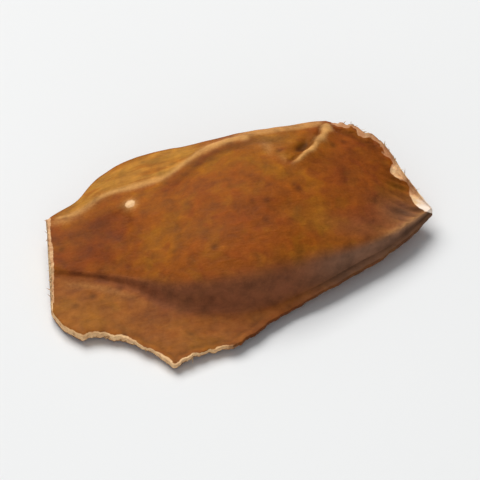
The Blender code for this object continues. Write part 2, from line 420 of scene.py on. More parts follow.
# Far edge of the flake beside the split: from, to, wobble as height and turn for each
# millimetre, where it begins along the line, where it ends past the line's end, half
# width, height, rub
FLAKE_FROM = (1.46, 5.50)
FLAKE_TO = (4.40, 1.70)
FLAKE_WOBBLE = (0.12, 1.9)
FLAKE_OPENS = (-0.4, 0.4)
FLAKE_CLOSES = (-1.2, 0.3)
FLAKE_EDGE = (0.50, 0.03, 0.16)
# Its rubbed corner: half width, rub
FLAKE_CORNER = (0.55, 0.85)

# Pale scar on the face: middle, half length and width, height, rub, dryness with its
# painted highlight, and how far in it turns pale
SCAR_AT = (-8.93, 1.30)
SCAR_SIZE = (0.58, 0.58)
SCAR_RISE = 0.12
SCAR_RUB = 0.8
SCAR_DRY_GLINT = 0.45
SCAR_PALE_FROM = (0.30, 0.95)

# Rubbed fold along the shoulder at the tip: half width, height, rub, stations
TIP_FOLD = (0.34, 0.11, 0.50)
TIP_FOLD_SPAN = ((0.76, 0.93), (0.975, 1.0))
# Hollows behind it: x, y, half length, half width, depth, shade
TIP_HOLLOWS = (
    (12.75, -1.95, 0.85, 0.60, 0.12, 0.55),
    (14.60, -1.68, 0.90, 0.38, 0.08, 0.90),
)
# Fine ribs: stations over which they begin, spacing, slant, height, shade, lumps that
# bend them as size for each axis and turn
TIP_RIBS_FROM = (0.86, 0.93)
TIP_RIB_SPACING = 0.85
TIP_RIB_SLANT = 0.35
TIP_RIB_HEIGHT = 0.062
TIP_RIB_SHADE = 0.36
TIP_RIB_LUMPS = ((3.0, 1.5, 1.5), 2.0)

# Dark foot of the front: shade, strip of the flange before the edge as half width and
# share, stations over which the narrow flange and the tip darken with their shares,
# share of the lower wall at the tip and how far down that begins and is full
FOOT_SHADE = 0.60
FOOT_STRIP = (0.4, 0.45)
NARROW_DARK_FROM = (0.52, 0.72)
NARROW_DARK = 0.90
TIP_DARK_FROM = (0.80, 0.92)
TIP_DARK = 1.3
TIP_WALL_DARK = 0.8
TIP_WALL_DARK_FROM = (0.2, 0.8)

# Wall: share of the wall colour at the broken end and stations over which it fills
# up, painted shade of its upper part, how far down that ends and over which stations.
# The wall colour is its own purplish coat, with painted shade and a painted reflection
# of the pale floor in it
WALL_COLOR_LEAST = 0.15
WALL_COLOR_FROM = (0.02, 0.24)
WALL_SHADE = 0.17
WALL_SHADE_DOWN_TO = (0.25, 0.65)
WALL_SHADE_ENDS = (0.50, 0.75)

# Stations of the bevel, whose lighter colour is partly painted light on a face that
# tilts to the top light, and those over which flange and wall turn to a greyer tone,
# a painted reflection of the pale floor
BEVEL_SPAN = ((0.0, 0.05), (0.40, 0.50))
DUSK_FROM = (0.56, 0.74)

# How often the colours of wall and flange are blended with their neighbours
MARK_BLUR = 32

# Patches of colour: x, y, half length, half width, strength
GOLD_PATCHES = (
    (-13.6, -7.3, 2.8, 1.5, 0.9),
    (-5.7, -11.7, 2.8, 0.9, 0.8),
    (-7.6, -3.6, 1.7, 1.4, 0.8),
    (-6.6, -1.6, 2.8, 1.8, 0.4),
    (4.4, 4.6, 2.4, 1.3, 0.8),
    (5.7, -3.1, 1.0, 1.9, 0.5),
    (13.1, 0.3, 0.7, 0.8, 0.9),
    (-1.0, 2.8, 3.5, 1.6, 0.4),
)
RED_PATCHES = (
    (-12.8, -1.5, 3.0, 1.9, 0.9),
    (9.6, 1.4, 3.6, 3.2, 0.7),
    (10.4, -3.2, 2.0, 1.0, 0.8),
    (-11.4, 0.9, 1.9, 0.6, 0.9),
    # The next three lie on the flange: their darker red is partly painted shade of its hollow beside the
    # crease
    (-1.4, -10.9, 3.2, 1.5, 0.8),
    (-8.6, -8.4, 1.5, 1.3, 0.6),
    (2.6, -9.0, 2.2, 0.9, 0.6),
    (1.2, -3.5, 3.0, 1.8, 0.4),
)
RUB_PATCHES = (
    (3.0, 4.9, 2.4, 1.5, 0.24),
    (3.0, 3.6, 0.5, 1.1, 0.30),
    (4.0, 2.1, 0.4, 0.7, 0.28),
    (-14.3, 2.25, 1.6, 0.55, 0.45),
)
# Patches where the same greyer tone covers the tip
DUSK_PATCHES = (
    (13.2, -2.2, 2.3, 1.6, 0.72),
    (9.6, -4.2, 3.6, 1.1, 0.30),
)
SHADE_PATCHES = (
    (-2.0, -10.9, 4.2, 1.9, 0.13),
    (-10.6, -7.6, 2.6, 1.2, 0.06),
    (8.9, 1.1, 0.55, 1.9, 0.20),
    (11.9, 1.1, 0.80, 1.4, 0.16),
    (7.6, -3.6, 0.60, 1.3, 0.12),
    (-12.3, -0.9, 2.6, 2.0, 0.26),
    (-12.0, 0.6, 2.2, 0.8, 0.15),
)

# Broken end: hollow, share of it over which its lumps rise from the rim, lumps of cork
# as size, height and chance number
END_HOLLOW = 0.35
CORK_RISES = (0.0, 0.3)
CORK_LUMPS = ((0.60, 0.20, 21), (0.27, 0.12, 22))

# Crumbs on the broken end: rings and sides of one, least and most size and stretch,
# height and size of its lumps, least and most share of the end's area they lie within
CRUMB_RINGS = 4
CRUMB_SIDES = 8
CRUMB_SIZE = (0.10, 0.24)
CRUMB_STRETCH = (0.6, 1.3)
CRUMB_ROUGHNESS = 0.03
CRUMB_LUMP = 0.12
CRUMB_REACH = (0.02, 0.85)

# Loose fibres: sides and joints of one, widths, thickness as a share of the width,
# where on a half turn its taper starts and how far it runs, a direction that none takes
FIBRE_SIDES = 5
FIBRE_JOINTS = 7
FIBRE_WIDTH = (0.04, 0.12)
FIBRE_FLATNESS = 0.4
FIBRE_TAPER = (0.22, 0.74)
FIBRE_UPWARDS = (0.13, 0.21, 0.97)
# Least and most share of the usual length, depth of the root, pull away from the
# seed, most pull along the edge, scatter of the aims, bend
FIBRE_LENGTHS = (0.5, 1.5)
FIBRE_ROOT = 0.08
FIBRE_AWAY = 0.5
FIBRE_ALONG = 1.2
FIBRE_SCATTER = 0.12
FIBRE_BEND = 0.4
# Torn front edge, torn back and rim: share of the fibres, direction away from the seed
FRAYS = (
    (0.42, (0.0, -1.0, 0.05)),
    (0.30, (0.75, 0.55, 0.10)),
    (0.28, (-1.0, -0.1, 0.0)),
)
# Stations at which the fibres of the front begin and those of the back end, and steps
# before the end of a path that a fibre stays
FRAY_ENDS = (0.01, 0.985)
SHORT_OF_END = 1.001

# Patterns of the coat: size along, across and upwards, detail, roughness, warp
COAT_PATTERNS = {
    "mottle": ((1.45, 1.30, 1.30), 2.0, 0.5, 0.3),
    "flecks": ((0.70, 0.60, 0.60), 1.0, 0.5, 0.2),
    "fibres": ((2.4, 0.22, 0.22), 3.0, 0.6, 0.0),
    "grain": ((0.22, 0.17, 0.17), 2.0, 0.6, 0.0),
    "dotted": ((2.9, 2.7, 2.7), 1.0, 0.5, 0.0),
    "gold clouds": ((7.5, 4.2, 4.2), 1.0, 0.5, 0.4),
    "gold specks": ((1.8, 1.5, 1.5), 1.0, 0.5, 0.0),
    "red clouds": ((5.6, 3.3, 3.3), 1.0, 0.5, 0.4),
    "red specks": ((1.6, 1.3, 1.3), 1.0, 0.5, 0.0),
    "streaks": ((6.0, 0.70, 0.90), 2.0, 0.55, 0.3),
    "olive": ((4.0, 1.3, 1.3), 1.0, 0.5, 0.0),
    "cells": ((0.55, 0.40, 0.40), 3.0, 0.6, 0.0),
    "pits": ((0.36, 0.36, 0.36), 3.0, 0.65, 0.0),
}
# Values of a pattern or mark that are drawn out to 0 and 1
CONTRAST = {
    "dot": (0.02, 0.28),
    "dotted": (0.42, 0.54),
    "gold clouds": (0.42, 0.64),
    "gold specks": (0.50, 0.64),
    "red clouds": (0.46, 0.66),
    "red specks": (0.50, 0.64),
    "streaks": (0.38, 0.62),
    "olive": (0.48, 0.62),
    "rub_and_highlight": (-0.05, 1.0),
    "pale": (0.28, 0.70),
    "light": (0.0, 0.55),
    "white": (0.55, 0.95),
    "pits": (0.36, 0.56),
}
# Shares with which tints cover what is below them, and the flange's as a fixed share
# and one that goes with the flecks
COVER = {
    "gold clouds": 0.45,
    "gold specks": 0.40,
    "red clouds": 0.40,
    "red specks": 0.40,
    "red": 0.85,
    "wall": 0.85,
    "olive": 0.45,
    "bevel": 0.90,
    "rub_and_highlight": 0.95,
    "dusk": 0.70,
    "torn gold": 0.60,
}
FLANGE_COVER = (0.15, 0.55)
# Spacing of the dark dots, how dark they are and how much less so on the wall, and
# how dark the shaded places are
DOT_SPACING = (2.0, 1.8, 1.8)
DOT_DARK = 0.42
DOT_LESS_ON_WALL = 0.26
SHADE_DARK = 0.75
# Weights of the patterns in tone, bump, roughness, rub and painted highlight, torn
# line, and dryness with its painted highlight
TONE = {"mottle": 0.94, "flecks": 0.45, "fibres": 0.14, "grain": 0.22}
BUMP = {"fibres": 0.30, "grain": 0.25, "mottle": 0.40, "flecks": 0.40}
ROUGHNESS = {"mottle": 0.20, "fibres": 0.10}
PALE = {"grain": 0.45, "flecks": 0.3}
DRY_GLINT = {"cells": 0.9}
RUB_AND_HIGHLIGHT_MOTTLE = 0.6
RUB_AND_HIGHLIGHT_GRAIN = 0.3
# Coat: middle roughness, how much rougher it is where torn, depth of the bump, specular level
COAT_ROUGHNESS = 0.63
TORN_ROUGHER = 0.22
COAT_BUMP = 0.10
COAT_SPECULAR = 0.13

# Dry tissue of fibres and crumbs: grain sizes, detail and roughness of the grain, its
# contrast; patches of torn colour as size, contrast and cover; roughness and its share
# of the grain, depth of the bump, specular level
FIBRE_GRAIN = 0.4
CORK_GRAIN = 0.25
TISSUE_DETAIL = (3.0, 0.65)
TISSUE_CONTRAST = (0.34, 0.60)
TISSUE_PATCH = 1.6
TISSUE_PATCH_CONTRAST = (0.48, 0.66)
TISSUE_PATCH_COVER = 0.6
TISSUE_ROUGHNESS = (0.70, 0.2)
TISSUE_BUMP = 0.06
TISSUE_SPECULAR = 0.15

# Stage, in metres: point that lights and camera look at, half width of the floor, its
# two tones, the size of their clouds in millimetres, their contrast, its finish
STAGE_TARGET = (0.0, 0.0005, 0.0026)
FLOOR_HALF = 1.5
FLOOR_TONES = ((0.80, 0.81, 0.82), (0.82, 0.83, 0.84))
FLOOR_CLOUDS = 60.0
FLOOR_CONTRAST = (0.2, 0.8)
FLOOR_ROUGHNESS = 0.6
FLOOR_BUMP = 0.0
FLOOR_SPECULAR = 0.3
# Lights: size, place, colour
TOP_LIGHT = (0.55, (-0.12, 0.32, 0.60), (1.0, 0.985, 0.96))
FRONT_FILL = (0.60, (-0.20, -0.55, 0.35), (0.96, 0.98, 1.0))
ROOM_COLOR = (0.95, 0.98, 1.0)
# Camera: distance, lens and sensor width in millimetres, how far it sees
CAMERA_DISTANCE = 0.45
CAMERA_LENS = 415.0
CAMERA_SENSOR = 36.0
CAMERA_REACH = 10.0


def spline(station, table, column):
    """Smooth curve through one column of a table, at the given stations.

    A cubic from each row to the next.  Its slope at a row is the mean of the slopes
    to the two neighbours, each weighted by the width of the other's step.
    """
    knots = np.array([row[0] for row in table])
    values = np.array([row[column] for row in table])
    widths = np.diff(knots)
    steps = np.diff(values) / widths
    slopes = np.empty_like(values)
    slopes[0] = steps[0]
    slopes[-1] = steps[-1]
    slopes[1:-1] = (steps[:-1] * widths[1:] + steps[1:] * widths[:-1]) / (widths[1:] + widths[:-1])
    place = np.clip(np.searchsorted(knots, station, side="right") - 1, 0, len(widths) - 1)
    share = (station - knots[place]) / widths[place]
    return hermite(share, values[place], values[place + 1],
                   slopes[place] * widths[place], slopes[place + 1] * widths[place])


def hermite(share, start, end, start_rise, end_rise):
    """Cubic from start to end with a given rise over the whole way at each."""
    rest = 1.0 - share
    blend = (1.0 + 2.0 * share) * rest ** 2
    return (blend * start + (1.0 - blend) * end
            + share * rest ** 2 * start_rise - share ** 2 * rest * end_rise)


def line(station, table):
    """Points of a lengthwise line as x, y and z."""
    return [spline(station, table, column) for column in (1, 2, 3)]


def waves(station, count, chance):
    """Uneven waves between about -1 and 1, from a few sines of chance phase."""
    draw = np.random.default_rng(chance)
    total = np.zeros_like(station)
    for part in WAVE_PARTS:
        phase = draw.uniform(0.0, 2.0 * math.pi)
        total = total + np.sin(2.0 * math.pi * count * part * station + phase)
    return total / WAVE_SUM


def fade(value, span):
    """Smooth rise from 0 at the start of a span to 1 at its end."""
    share = np.clip((value - span[0]) / (span[1] - span[0]), 0.0, 1.0)
    return share * share * (3.0 - 2.0 * share)


def stretch(station, begins, ends):
    """1 on a stretch of the seed, easing in over one span and out over another."""
    return fade(station, begins) * (1.0 - fade(station, ends))


def bell(distance, width):
    """Bell curve: 1 at no distance, near 0 at twice the width."""
    return np.exp(-(distance / width) ** 2)


def oval(x, y, middle, size):
    """Bell over an oval in plan: 1 in its middle, 1/e at the given half length and width."""
    return bell(np.hypot((x - middle[0]) / size[0], (y - middle[1]) / size[1]), 1.0)


def strongest(*values):
    """Largest of several values at each place."""
    return np.maximum.reduce(np.broadcast_arrays(*values))


def between(start, end, share):
    """Straight way from one point to another."""
    return [a + (b - a) * share for a, b in zip(start, end)]


def chance_at(lattice, chance):
    """Repeatable chance numbers from 0 to 1 for whole-number lattice points (..., 3).

    The weighted sum of the three numbers is folded over itself and multiplied
    again and again, in whole numbers of 32 bits.
    """
    cell = lattice.astype(np.int64).astype(np.uint32)
    mixed = np.full(cell.shape[:-1], chance * LATTICE_START[0] + LATTICE_START[1], np.uint32)
    for axis, weight in enumerate(LATTICE_WEIGHTS):
        mixed = mixed + cell[..., axis] * np.uint32(weight)
    for shift, factor in LATTICE_STIRRING:
        mixed = (mixed ^ (mixed >> np.uint32(shift))) * np.uint32(factor)
    return mixed.astype(float) / 2.0 ** 32


def lumps(points, size, chance):
    """Smooth chance lumps from -1 to 1.

    Chance values on a lattice of the given cell size (one for all axes or one for
    each), blended with smooth cubic weights between the eight corners of each
    point's cell.
    """
    place = points / np.asarray(size, float)
    low = np.floor(place)
    share = place - low
    share = share * share * (3.0 - 2.0 * share)
    total = np.zeros(points.shape[:-1])
    for corner in range(8):
        step = np.array([corner & 1, corner >> 1 & 1, corner >> 2 & 1], float)
        weight = np.prod(np.where(step > 0.5, share, 1.0 - share), axis=-1)
        total += weight * chance_at(low + step, chance)
    return 2.0 * total - 1.0


def ragged(station, count, side):
    """Waves of a torn line, with finer waves on them."""
    return (waves(station, count, CHANCE[side + " tear"])
            + FINE_TEAR * waves(station, FINE_WAVES * count, CHANCE[side + " fine tear"]))


def guide_lines(station):
    """The named lines of the seed at the given stations.

    Each is a smooth curve through its table.  Uneven waves tear the flange's edge
    and the back near the tip, the ridge lies at a share of the way from shoulder to
    back, and the under edge and the foot are set off from the edge and the back.
    """
    edge = line(station, FLANGE_EDGE)
    tear = FLANGE_TEAR + (FLANGE_TEAR_NEAR_TIP - FLANGE_TEAR) * fade(station, FLANGE_TEAR_EASES)
    edge[1] = edge[1] - tear * ragged(station, FLANGE_TEAR_WAVES, "front")
    lift = FLANGE_LIFT + FLANGE_WAVE * waves(station, FLANGE_WAVES, CHANCE["flange waves"])
    edge[2] = edge[2] + lift * (1.0 - fade(station, FLANGE_SETTLES))
    shoulder = line(station, SHOULDER)
    back = line(station, BACK_EDGE)
    torn = fade(station, TORN_BACK_BEGINS)
    back[1] = back[1] + torn * TORN_BACK_TEAR * ragged(station, TORN_BACK_WAVES, "back")
    back[2] = back[2] + torn * TORN_BACK_LIP * (1.0 - fade(station, TORN_BACK_ENDS))
    ridge = between(shoulder, back, spline(station, RIDGE, 1))
    ridge[2] = spline(station, RIDGE, 2)
    return {
        "edge": edge,
        "under_edge": [edge[0], edge[1] + EDGE_UNDERCUT, edge[2] - EDGE_THICKNESS],
        "crease": line(station, CREASE),
        "shoulder": shoulder,
        "ridge": ridge,
        "back": back,
        "foot": [back[0], back[1], spline(station, BACK_FOOT, 1)],
    }


def plan_gap(start, end):
    """Distance between two lines in plan."""
    return np.hypot(end[0] - start[0], end[1] - start[1])


def dish_height(x, y):
    """Height change of the shallow dish near the tip, an oval bell downwards."""
    return -TIP_DISH_DEPTH * oval(x, y, TIP_DISH_AT, TIP_DISH_SIZE)


def section_part(lines, station, part, share):
    """Points of one part of the section, at a share of the way along it.

    Each part runs between two of the guide lines: straight in plan, with a
    parabola on the crown, a cubic on the wall, a sine bulge on the back and
    two power curves on the belly for its height.
    """
    edge, crease, shoulder = lines["edge"], lines["crease"], lines["shoulder"]
    ridge, back, foot, under_edge = lines["ridge"], lines["back"], lines["foot"], lines["under_edge"]
    rise = spline(station, CROWN_RISE, 1)
    if part == "flange":
        x, y, z = between(edge, crease, share)
    elif part == "wall":
        x, y, z = between(crease, shoulder, share)
        width = plan_gap(crease, shoulder)
        flange_slope = (crease[2] - edge[2]) / np.maximum(plan_gap(edge, crease), LEAST_WIDTH)
        crown_rise = 4.0 * rise + ridge[2] - shoulder[2]
        crown_slope = crown_rise / np.maximum(plan_gap(shoulder, ridge), LEAST_WIDTH)
        z = hermite(share, crease[2], shoulder[2], width * flange_slope, width * crown_slope)
    elif part == "crown":
        x, y, z = between(shoulder, ridge, share)
        z = z + rise * 4.0 * share * (1.0 - share) + dish_height(x, y)
    elif part == "bevel":
        x, y, z = between(ridge, back, share)
        z = z + dish_height(x, y)
    elif part == "back":
        x, y, z = between(back, foot, share)
        torn = fade(station, TORN_BACK_BEGINS)
        bulge = BACK_BULGE * (back[2] - foot[2]) * np.sin(math.pi * share)
        x = x + torn * TORN_BACK_TOWARDS_TIP * bulge
        y = y + (1.0 - torn * TORN_BACK_FLATTER) * bulge
    elif part == "belly":
        x, y, z = between(foot, under_edge, share)
        low = spline(station, KEEL, 1) - FLAT_SPOT_CUT
        behind = np.clip(1.0 - share / BELLY_LINE, 0.0, 1.0)
        ahead = np.clip((share - BELLY_LINE) / (1.0 - BELLY_LINE), 0.0, 1.0)
        z = (low + (foot[2] - low) * behind ** BELLY_BACK_POWER
             + (under_edge[2] - low) * ahead ** BELLY_FRONT_POWER)
        z = np.maximum(z, 0.0)
    else:
        x, y, z = between(under_edge, edge, share)
        y = y - EDGE_ROUNDING * np.sin(math.pi * share)
    return np.stack(np.broadcast_arrays(x, y, z), axis=-1)


def part_columns(part):
    """Columns that a part of the section takes up."""
    names = list(COLUMNS)
    start = sum(COLUMNS[name] for name in names[:names.index(part)])
    return slice(start, start + COLUMNS[part])


def line_column(name):
    """Number of the column that a line along the seed follows."""
    return part_columns(STARTS_AT[name]).start


def part_masks():
    """For each part of the section, 1 on its columns and 0 on the others."""
    masks = {part: np.zeros((1, ALL_COLUMNS)) for part in COLUMNS}
    for part, mask in masks.items():
        mask[0, part_columns(part)] = 1.0
    return masks


def way_along(part):
    """Share of the way along a part of the section, 0 on all other columns."""
    shares = np.zeros((1, ALL_COLUMNS))
    shares[0, part_columns(part)] = np.arange(COLUMNS[part]) / COLUMNS[part]
    return shares


def rounded(points):
    """Section rounded off at the crease, the shoulder and the ridge.

    Each column is moved again and again towards the middle of its two
    neighbours, fully on the line and less and less with the columns from it.
    """
    for name, reach, times in ROUNDED_LINES:
        away = np.abs(np.arange(ALL_COLUMNS) - line_column(name))
        weight = (bell(np.minimum(away, ALL_COLUMNS - away), reach) / 2.0)[None, :, None]
        for _ in range(times):
            middle = (np.roll(points, 1, axis=1) + np.roll(points, -1, axis=1)) / 2.0
            points = points + weight * (middle - points)
    return points


def stations():
    """Station of each row, as a column of numbers."""
    return np.linspace(0.0, 1.0, STATION_ROWS)[:, None]


def smooth_body():
    """Skin from rim to tip before its relief: points (rows, columns, 3)."""
    station = stations()
    lines = guide_lines(station)
    parts = [section_part(lines, station, part, np.arange(count)[None, :] / count)
             for part, count in COLUMNS.items()]
    return rounded(np.concatenate(parts, axis=1))


def distance_to(points, path):
    """Least distance from each point of the skin to a path with one point for each row.

    Each row looks at the path's points up to NEAR_ROWS before and after its own.
    """
    rows = np.arange(len(path))
    least = np.full(points.shape[:-1], FAR)
    for step in range(-NEAR_ROWS, NEAR_ROWS + 1):
        place = path[np.clip(rows + step, 0, len(path) - 1)]
        least = np.minimum(least, np.sum((points - place[:, None]) ** 2, axis=-1))
    return np.sqrt(least)


def distance_from_rim(points):
    """Way along each column from the broken end: the lengths of its steps, added up."""
    steps = np.linalg.norm(np.diff(points, axis=0), axis=-1)
    return np.concatenate([np.zeros((1, points.shape[1])), np.cumsum(steps, axis=0)])


def unit(vectors):
    """Vectors brought to length 1."""
    return vectors / np.maximum(np.linalg.norm(vectors, axis=-1, keepdims=True), 1e-9)


def outward(points):
    """Unit normals of a grid that is closed round its columns.

    The cross product of the ways round and along the grid, all turned to the side
    that is away from its middle.
    """
    along = np.gradient(points, axis=0)
    around = np.roll(points, -1, axis=1) - np.roll(points, 1, axis=1)
    normal = unit(np.cross(around, along))
    facing = np.sum(normal * (points - points.mean(axis=(0, 1))))
    return normal if facing > 0.0 else -normal


def patches(points, table):
    """Sum of soft oval patches, held to at most 1."""
    total = sum(strength * oval(points[..., 0], points[..., 1], (x, y), (length, width))
                for x, y, length, width, strength in table)
    return np.minimum(total, 1.0)


def along_back(points, table):
    """Sum of bells round places of the back edge, each given as station, reach and height."""
    column = line_column("back")
    total = 0.0
    for at, reach, height in table:
        place = points[round(at * (STATION_ROWS - 1)), column]
        total = total + height * bell(np.linalg.norm(points - place, axis=-1), reach)
    return total


def strip(distance, away, width, span):
    """Soft strip at a distance from a line: a bell across it, over a span of stations."""
    return bell(distance - away, width) * stretch(stations(), *span)


def beside_line(points, start, end):
    """Way along a straight line in plan and distance to its left, with the line's length."""
    run = np.array(end) - np.array(start)
    length = math.hypot(*run)
    way = run / length
    x, y = points[..., 0] - start[0], points[..., 1] - start[1]
    return x * way[0] + y * way[1], y * way[0] - x * way[1], length


def opened(along, length, opens, closes):
    """1 along a line of a given length, easing in at its start and out at its end."""
    return stretch(along, opens, (length + closes[0], length + closes[1]))


def torn_places(points, near, parts):
    """How torn each place is: 1 where the pale inner layer shows, 0 on whole coat.

    A place is torn where its distance from a torn edge, shortened or lengthened by
    chance lumps, is less than that edge's pale width.  Single places of the back
    are wider or narrower, and end the more softly the wider they are.
    """
    station = stations()
    uneven = sum(share * lumps(points, size, chance) for size, share, chance in TEAR_LUMPS)
    at_front = 1.0 - fade(station, FRONT_PALE_ENDS)
    front = fade(FRONT_PALE + FRONT_UNEVEN * uneven - near["edge"], TEAR_SOFTNESS)
    front = at_front * front * (1.0 - parts["belly"] - parts["edge"])
    face = at_front * parts["edge"] * fade(way_along("edge") + EDGE_FACE_UNEVEN * uneven, EDGE_FACE_PALE)
    rim = fade(RIM_PALE + RIM_UNEVEN * uneven - near["rim"], TEAR_SOFTNESS)
    wider = along_back(points, BACK_WIDER)
    within = BACK_PALE + BACK_UNEVEN * uneven + wider - near["back"]
    within = within / (1.0 + BACK_SOFTER * np.maximum(wider, 0.0))
    back = fade(station, BACK_PALE_BEGINS) * fade(within, TEAR_SOFTNESS)
    return strongest(front, face, rim, back)


def split_form(points, parts):
    """Height, rub and shade of the split in the face.

    The lip is a bell across a bowed line from the back edge inwards, wider on its
    knobs.  A narrow bell beside it sinks a slot, an oval one a pocket, and a broad
    one beyond it lifts the loose flap.
    """
    along, aside, length = beside_line(points, LIP_OUTER, LIP_INNER)
    aside = aside - LIP_BOW * np.sin(math.pi * np.clip(along / length, 0.0, 1.0))
    aside = aside + sum(height * np.sin(turn * along + phase) for height, turn, phase in LIP_WOBBLE)
    there = opened(along, length, LIP_OPENS, LIP_CLOSES) * (parts["crown"] + parts["bevel"])
    knobs = sum(more * bell(along - at, half) for at, half, more in LIP_KNOBS)
    lip = there * bell(aside, LIP_WIDTH * (1.0 + knobs))
    flap = there * bell(aside - FLAP[0], FLAP[1])
    slot = there * bell(aside + SLOT[0], SLOT[1])
    pocket = there * oval(along, aside, POCKET_AT, POCKET_SIZE)
    rough, grain = LIP_ROUGHNESS
    height = lip * (LIP_RISE + rough * lumps(points, grain, CHANCE["lip height"]))
    height = height + FLAP[2] * flap - SLOT[2] * slot - POCKET_DEPTH * pocket
    size, share = LIP_RUB_LUMPS
    bright = LIP_RUB + LIP_KNOB_RUB * knobs - LIP_DULLER * fade(along, LIP_DULLS)
    bright = bright + share * lumps(points, size, CHANCE["lip rub"])
    return height, lip * bright, strongest(SLOT[3] * slot, POCKET_SHADE * fade(pocket, POCKET_DARK_FROM))


def flake_form(points, parts):
    """Height, rub and shade of the flake's far edge.

    A bell across a straight line, with a round one on its rubbed corner.
    """
    along, aside, length = beside_line(points, FLAKE_FROM, FLAKE_TO)
    aside = aside + FLAKE_WOBBLE[0] * np.sin(FLAKE_WOBBLE[1] * along)
    width, rise, edge_rub = FLAKE_EDGE
    edge = parts["crown"] * opened(along, length, FLAKE_OPENS, FLAKE_CLOSES) * bell(aside, width)
    width, corner_rub = FLAKE_CORNER
    corner = parts["crown"] * oval(points[..., 0], points[..., 1], FLAKE_FROM, (width, width))
    return rise * (edge + corner), strongest(edge_rub * edge, corner_rub * corner), 0.0


def ridge_form(points, near, parts):
    """Height, rub with painted highlight, and painted shade of the ridge before the
    bevel, with the hollow in front of it.

    Bells across the ridge, and across a line at a distance from it, each eased in
    and out along the seed; lumps vary the width and the rub and highlight of the first.
    """
    # The ridge's rub is partly a painted highlight along its lit line
    width, rise, ridge_rub_and_highlight = RIDGE_RUB_AND_HIGHLIGHT
    size, share = RIDGE_WIDTH_LUMPS
    width = width * (1.0 + share * lumps(points, size, CHANCE["ridge width"]))
    ridge = (parts["crown"] + parts["bevel"]) * strip(near["ridge"], 0.0, width, RIDGE_RUB_AND_HIGHLIGHT_SPAN)
    size, share, always = RIDGE_RUB_AND_HIGHLIGHT_LUMPS
    ridge = ridge * (always + share * lumps(points, size, CHANCE["ridge rub and highlight"]))
    width, band_rub = RIM_BAND
    band = parts["crown"] * bell(near["ridge"], width) + parts["bevel"]
    band = band * stretch(stations(), *RIM_BAND_SPAN)
    away, width, depth, shade = RIDGE_HOLLOW
    hollow = parts["crown"] * strip(near["ridge"], away, width, RIDGE_HOLLOW_SPAN)
    return rise * ridge - depth * hollow, strongest(ridge_rub_and_highlight * ridge, band_rub * band), shade * hollow


def tip_form(points, near, parts):
    """Height, rub and shade of the fold, the hollows and the fine ribs at the tip.

    The fold is a bell across the shoulder, the hollows are oval bells downwards and
    the ribs slanted sine waves, bent by lumps.
    """
    x, y = points[..., 0], points[..., 1]
    width, rise, rub = TIP_FOLD
    fold = (parts["crown"] + parts["wall"]) * strip(near["shoulder"], 0.0, width, TIP_FOLD_SPAN)
    height, shade = rise * fold, 0.0
    for at_x, at_y, length, width, depth, dark in TIP_HOLLOWS:
        hollow = parts["crown"] * oval(x, y, (at_x, at_y), (length, width))
        height = height - depth * hollow
        shade = np.maximum(shade, dark * hollow)
    size, turn = TIP_RIB_LUMPS
    phase = 2.0 * math.pi * (y + TIP_RIB_SLANT * x) / TIP_RIB_SPACING
    ribs = np.sin(phase + turn * lumps(points, size, CHANCE["tip ribs"]))
    ribs = ribs * parts["crown"] * fade(stations(), TIP_RIBS_FROM)
    shade = strongest(shade, TIP_RIB_SHADE * np.clip(-ribs, 0.0, 1.0))
    return height + TIP_RIB_HEIGHT * ribs, rub * fold, shade


def strip_form(near, parts):
    """Height, painted highlight and painted shade of three strips, each a bell across
    a line beside another.

    They are the thin line on the flange, the painted highlight on its lit upper
    side beside the crease, and the groove inside the torn back.
    """
    away, width, line_depth, line_shade = EDGE_LINE
    edge_line = parts["flange"] * strip(near["edge"], away, width, EDGE_LINE_SPAN)
    # Painted highlight on the flange's lit upper side beside the crease
    away, width, rub = CREASE_HIGHLIGHT
    crease_highlight = parts["flange"] * strip(near["crease"], away, width, CREASE_HIGHLIGHT_SPAN)
    away, width, depth, shade = BACK_GROOVE
    groove = parts["crown"] * bell(near["back"] - away, width) * fade(stations(), BACK_PALE_BEGINS)
    return (-line_depth * edge_line - depth * groove, rub * crease_highlight,
            strongest(line_shade * edge_line, shade * groove))


def scar_form(scar):
    """Height, rub and shade of the pale scar on the face."""
    return SCAR_RISE * scar, SCAR_RUB * scar, 0.0


def coat_relief(points, parts):
    """Height of swells, fibres, flecks, wrinkles, folds and dents of the whole coat.

    Each is its height times chance lumps that are stretched along the seed.
    """
    height = sum(rise * parts.get(where, 1.0) * lumps(points, (along, across, across), chance)
                 for where, along, across, rise, chance in COAT_RELIEF)
    dent = fade(lumps(points, DENT_SIZE, CHANCE["dents"]), DENTS_FROM) * (1.0 - parts["belly"])
    return height - DENT_DEPTH * dent


def foot_shade(near, parts):
    """Shade of the foot of the front.

    It lies on the edge where that isn't torn, then on the whole narrow flange, and
    at the tip on the lower wall as well.
    """
    station = stations()
    width, share = FOOT_STRIP
    edge = np.maximum(share * bell(near["edge"], width) * parts["flange"], parts["edge"])
    low = parts["flange"] + parts["edge"]
    lower_wall = fade(parts["wall"] - way_along("wall"), TIP_WALL_DARK_FROM)
    at_tip = TIP_DARK * fade(station, TIP_DARK_FROM) * (low + TIP_WALL_DARK * lower_wall)
    return FOOT_SHADE * strongest(edge * fade(station, FRONT_PALE_ENDS),
                                  NARROW_DARK * fade(station, NARROW_DARK_FROM) * low, at_tip)


def dryness_and_glint(points, near, scar):
    """Dryness of the torn tissue with its painted highlight, along the back, on the scar,
    at the rim and at the front.
    """
    dry_glint, width = RIM_DRY_GLINT
    rim = dry_glint * fade(width - near["rim"], DRY_GLINT_SOFTNESS)
    dry_glint, width = FRONT_DRY_GLINT
    front = dry_glint * fade(width - near["edge"], DRY_GLINT_SOFTNESS) * (1.0 - fade(stations(), FRONT_PALE_ENDS))
    return strongest(along_back(points, BACK_DRY_GLINT), SCAR_DRY_GLINT * scar, rim, front)


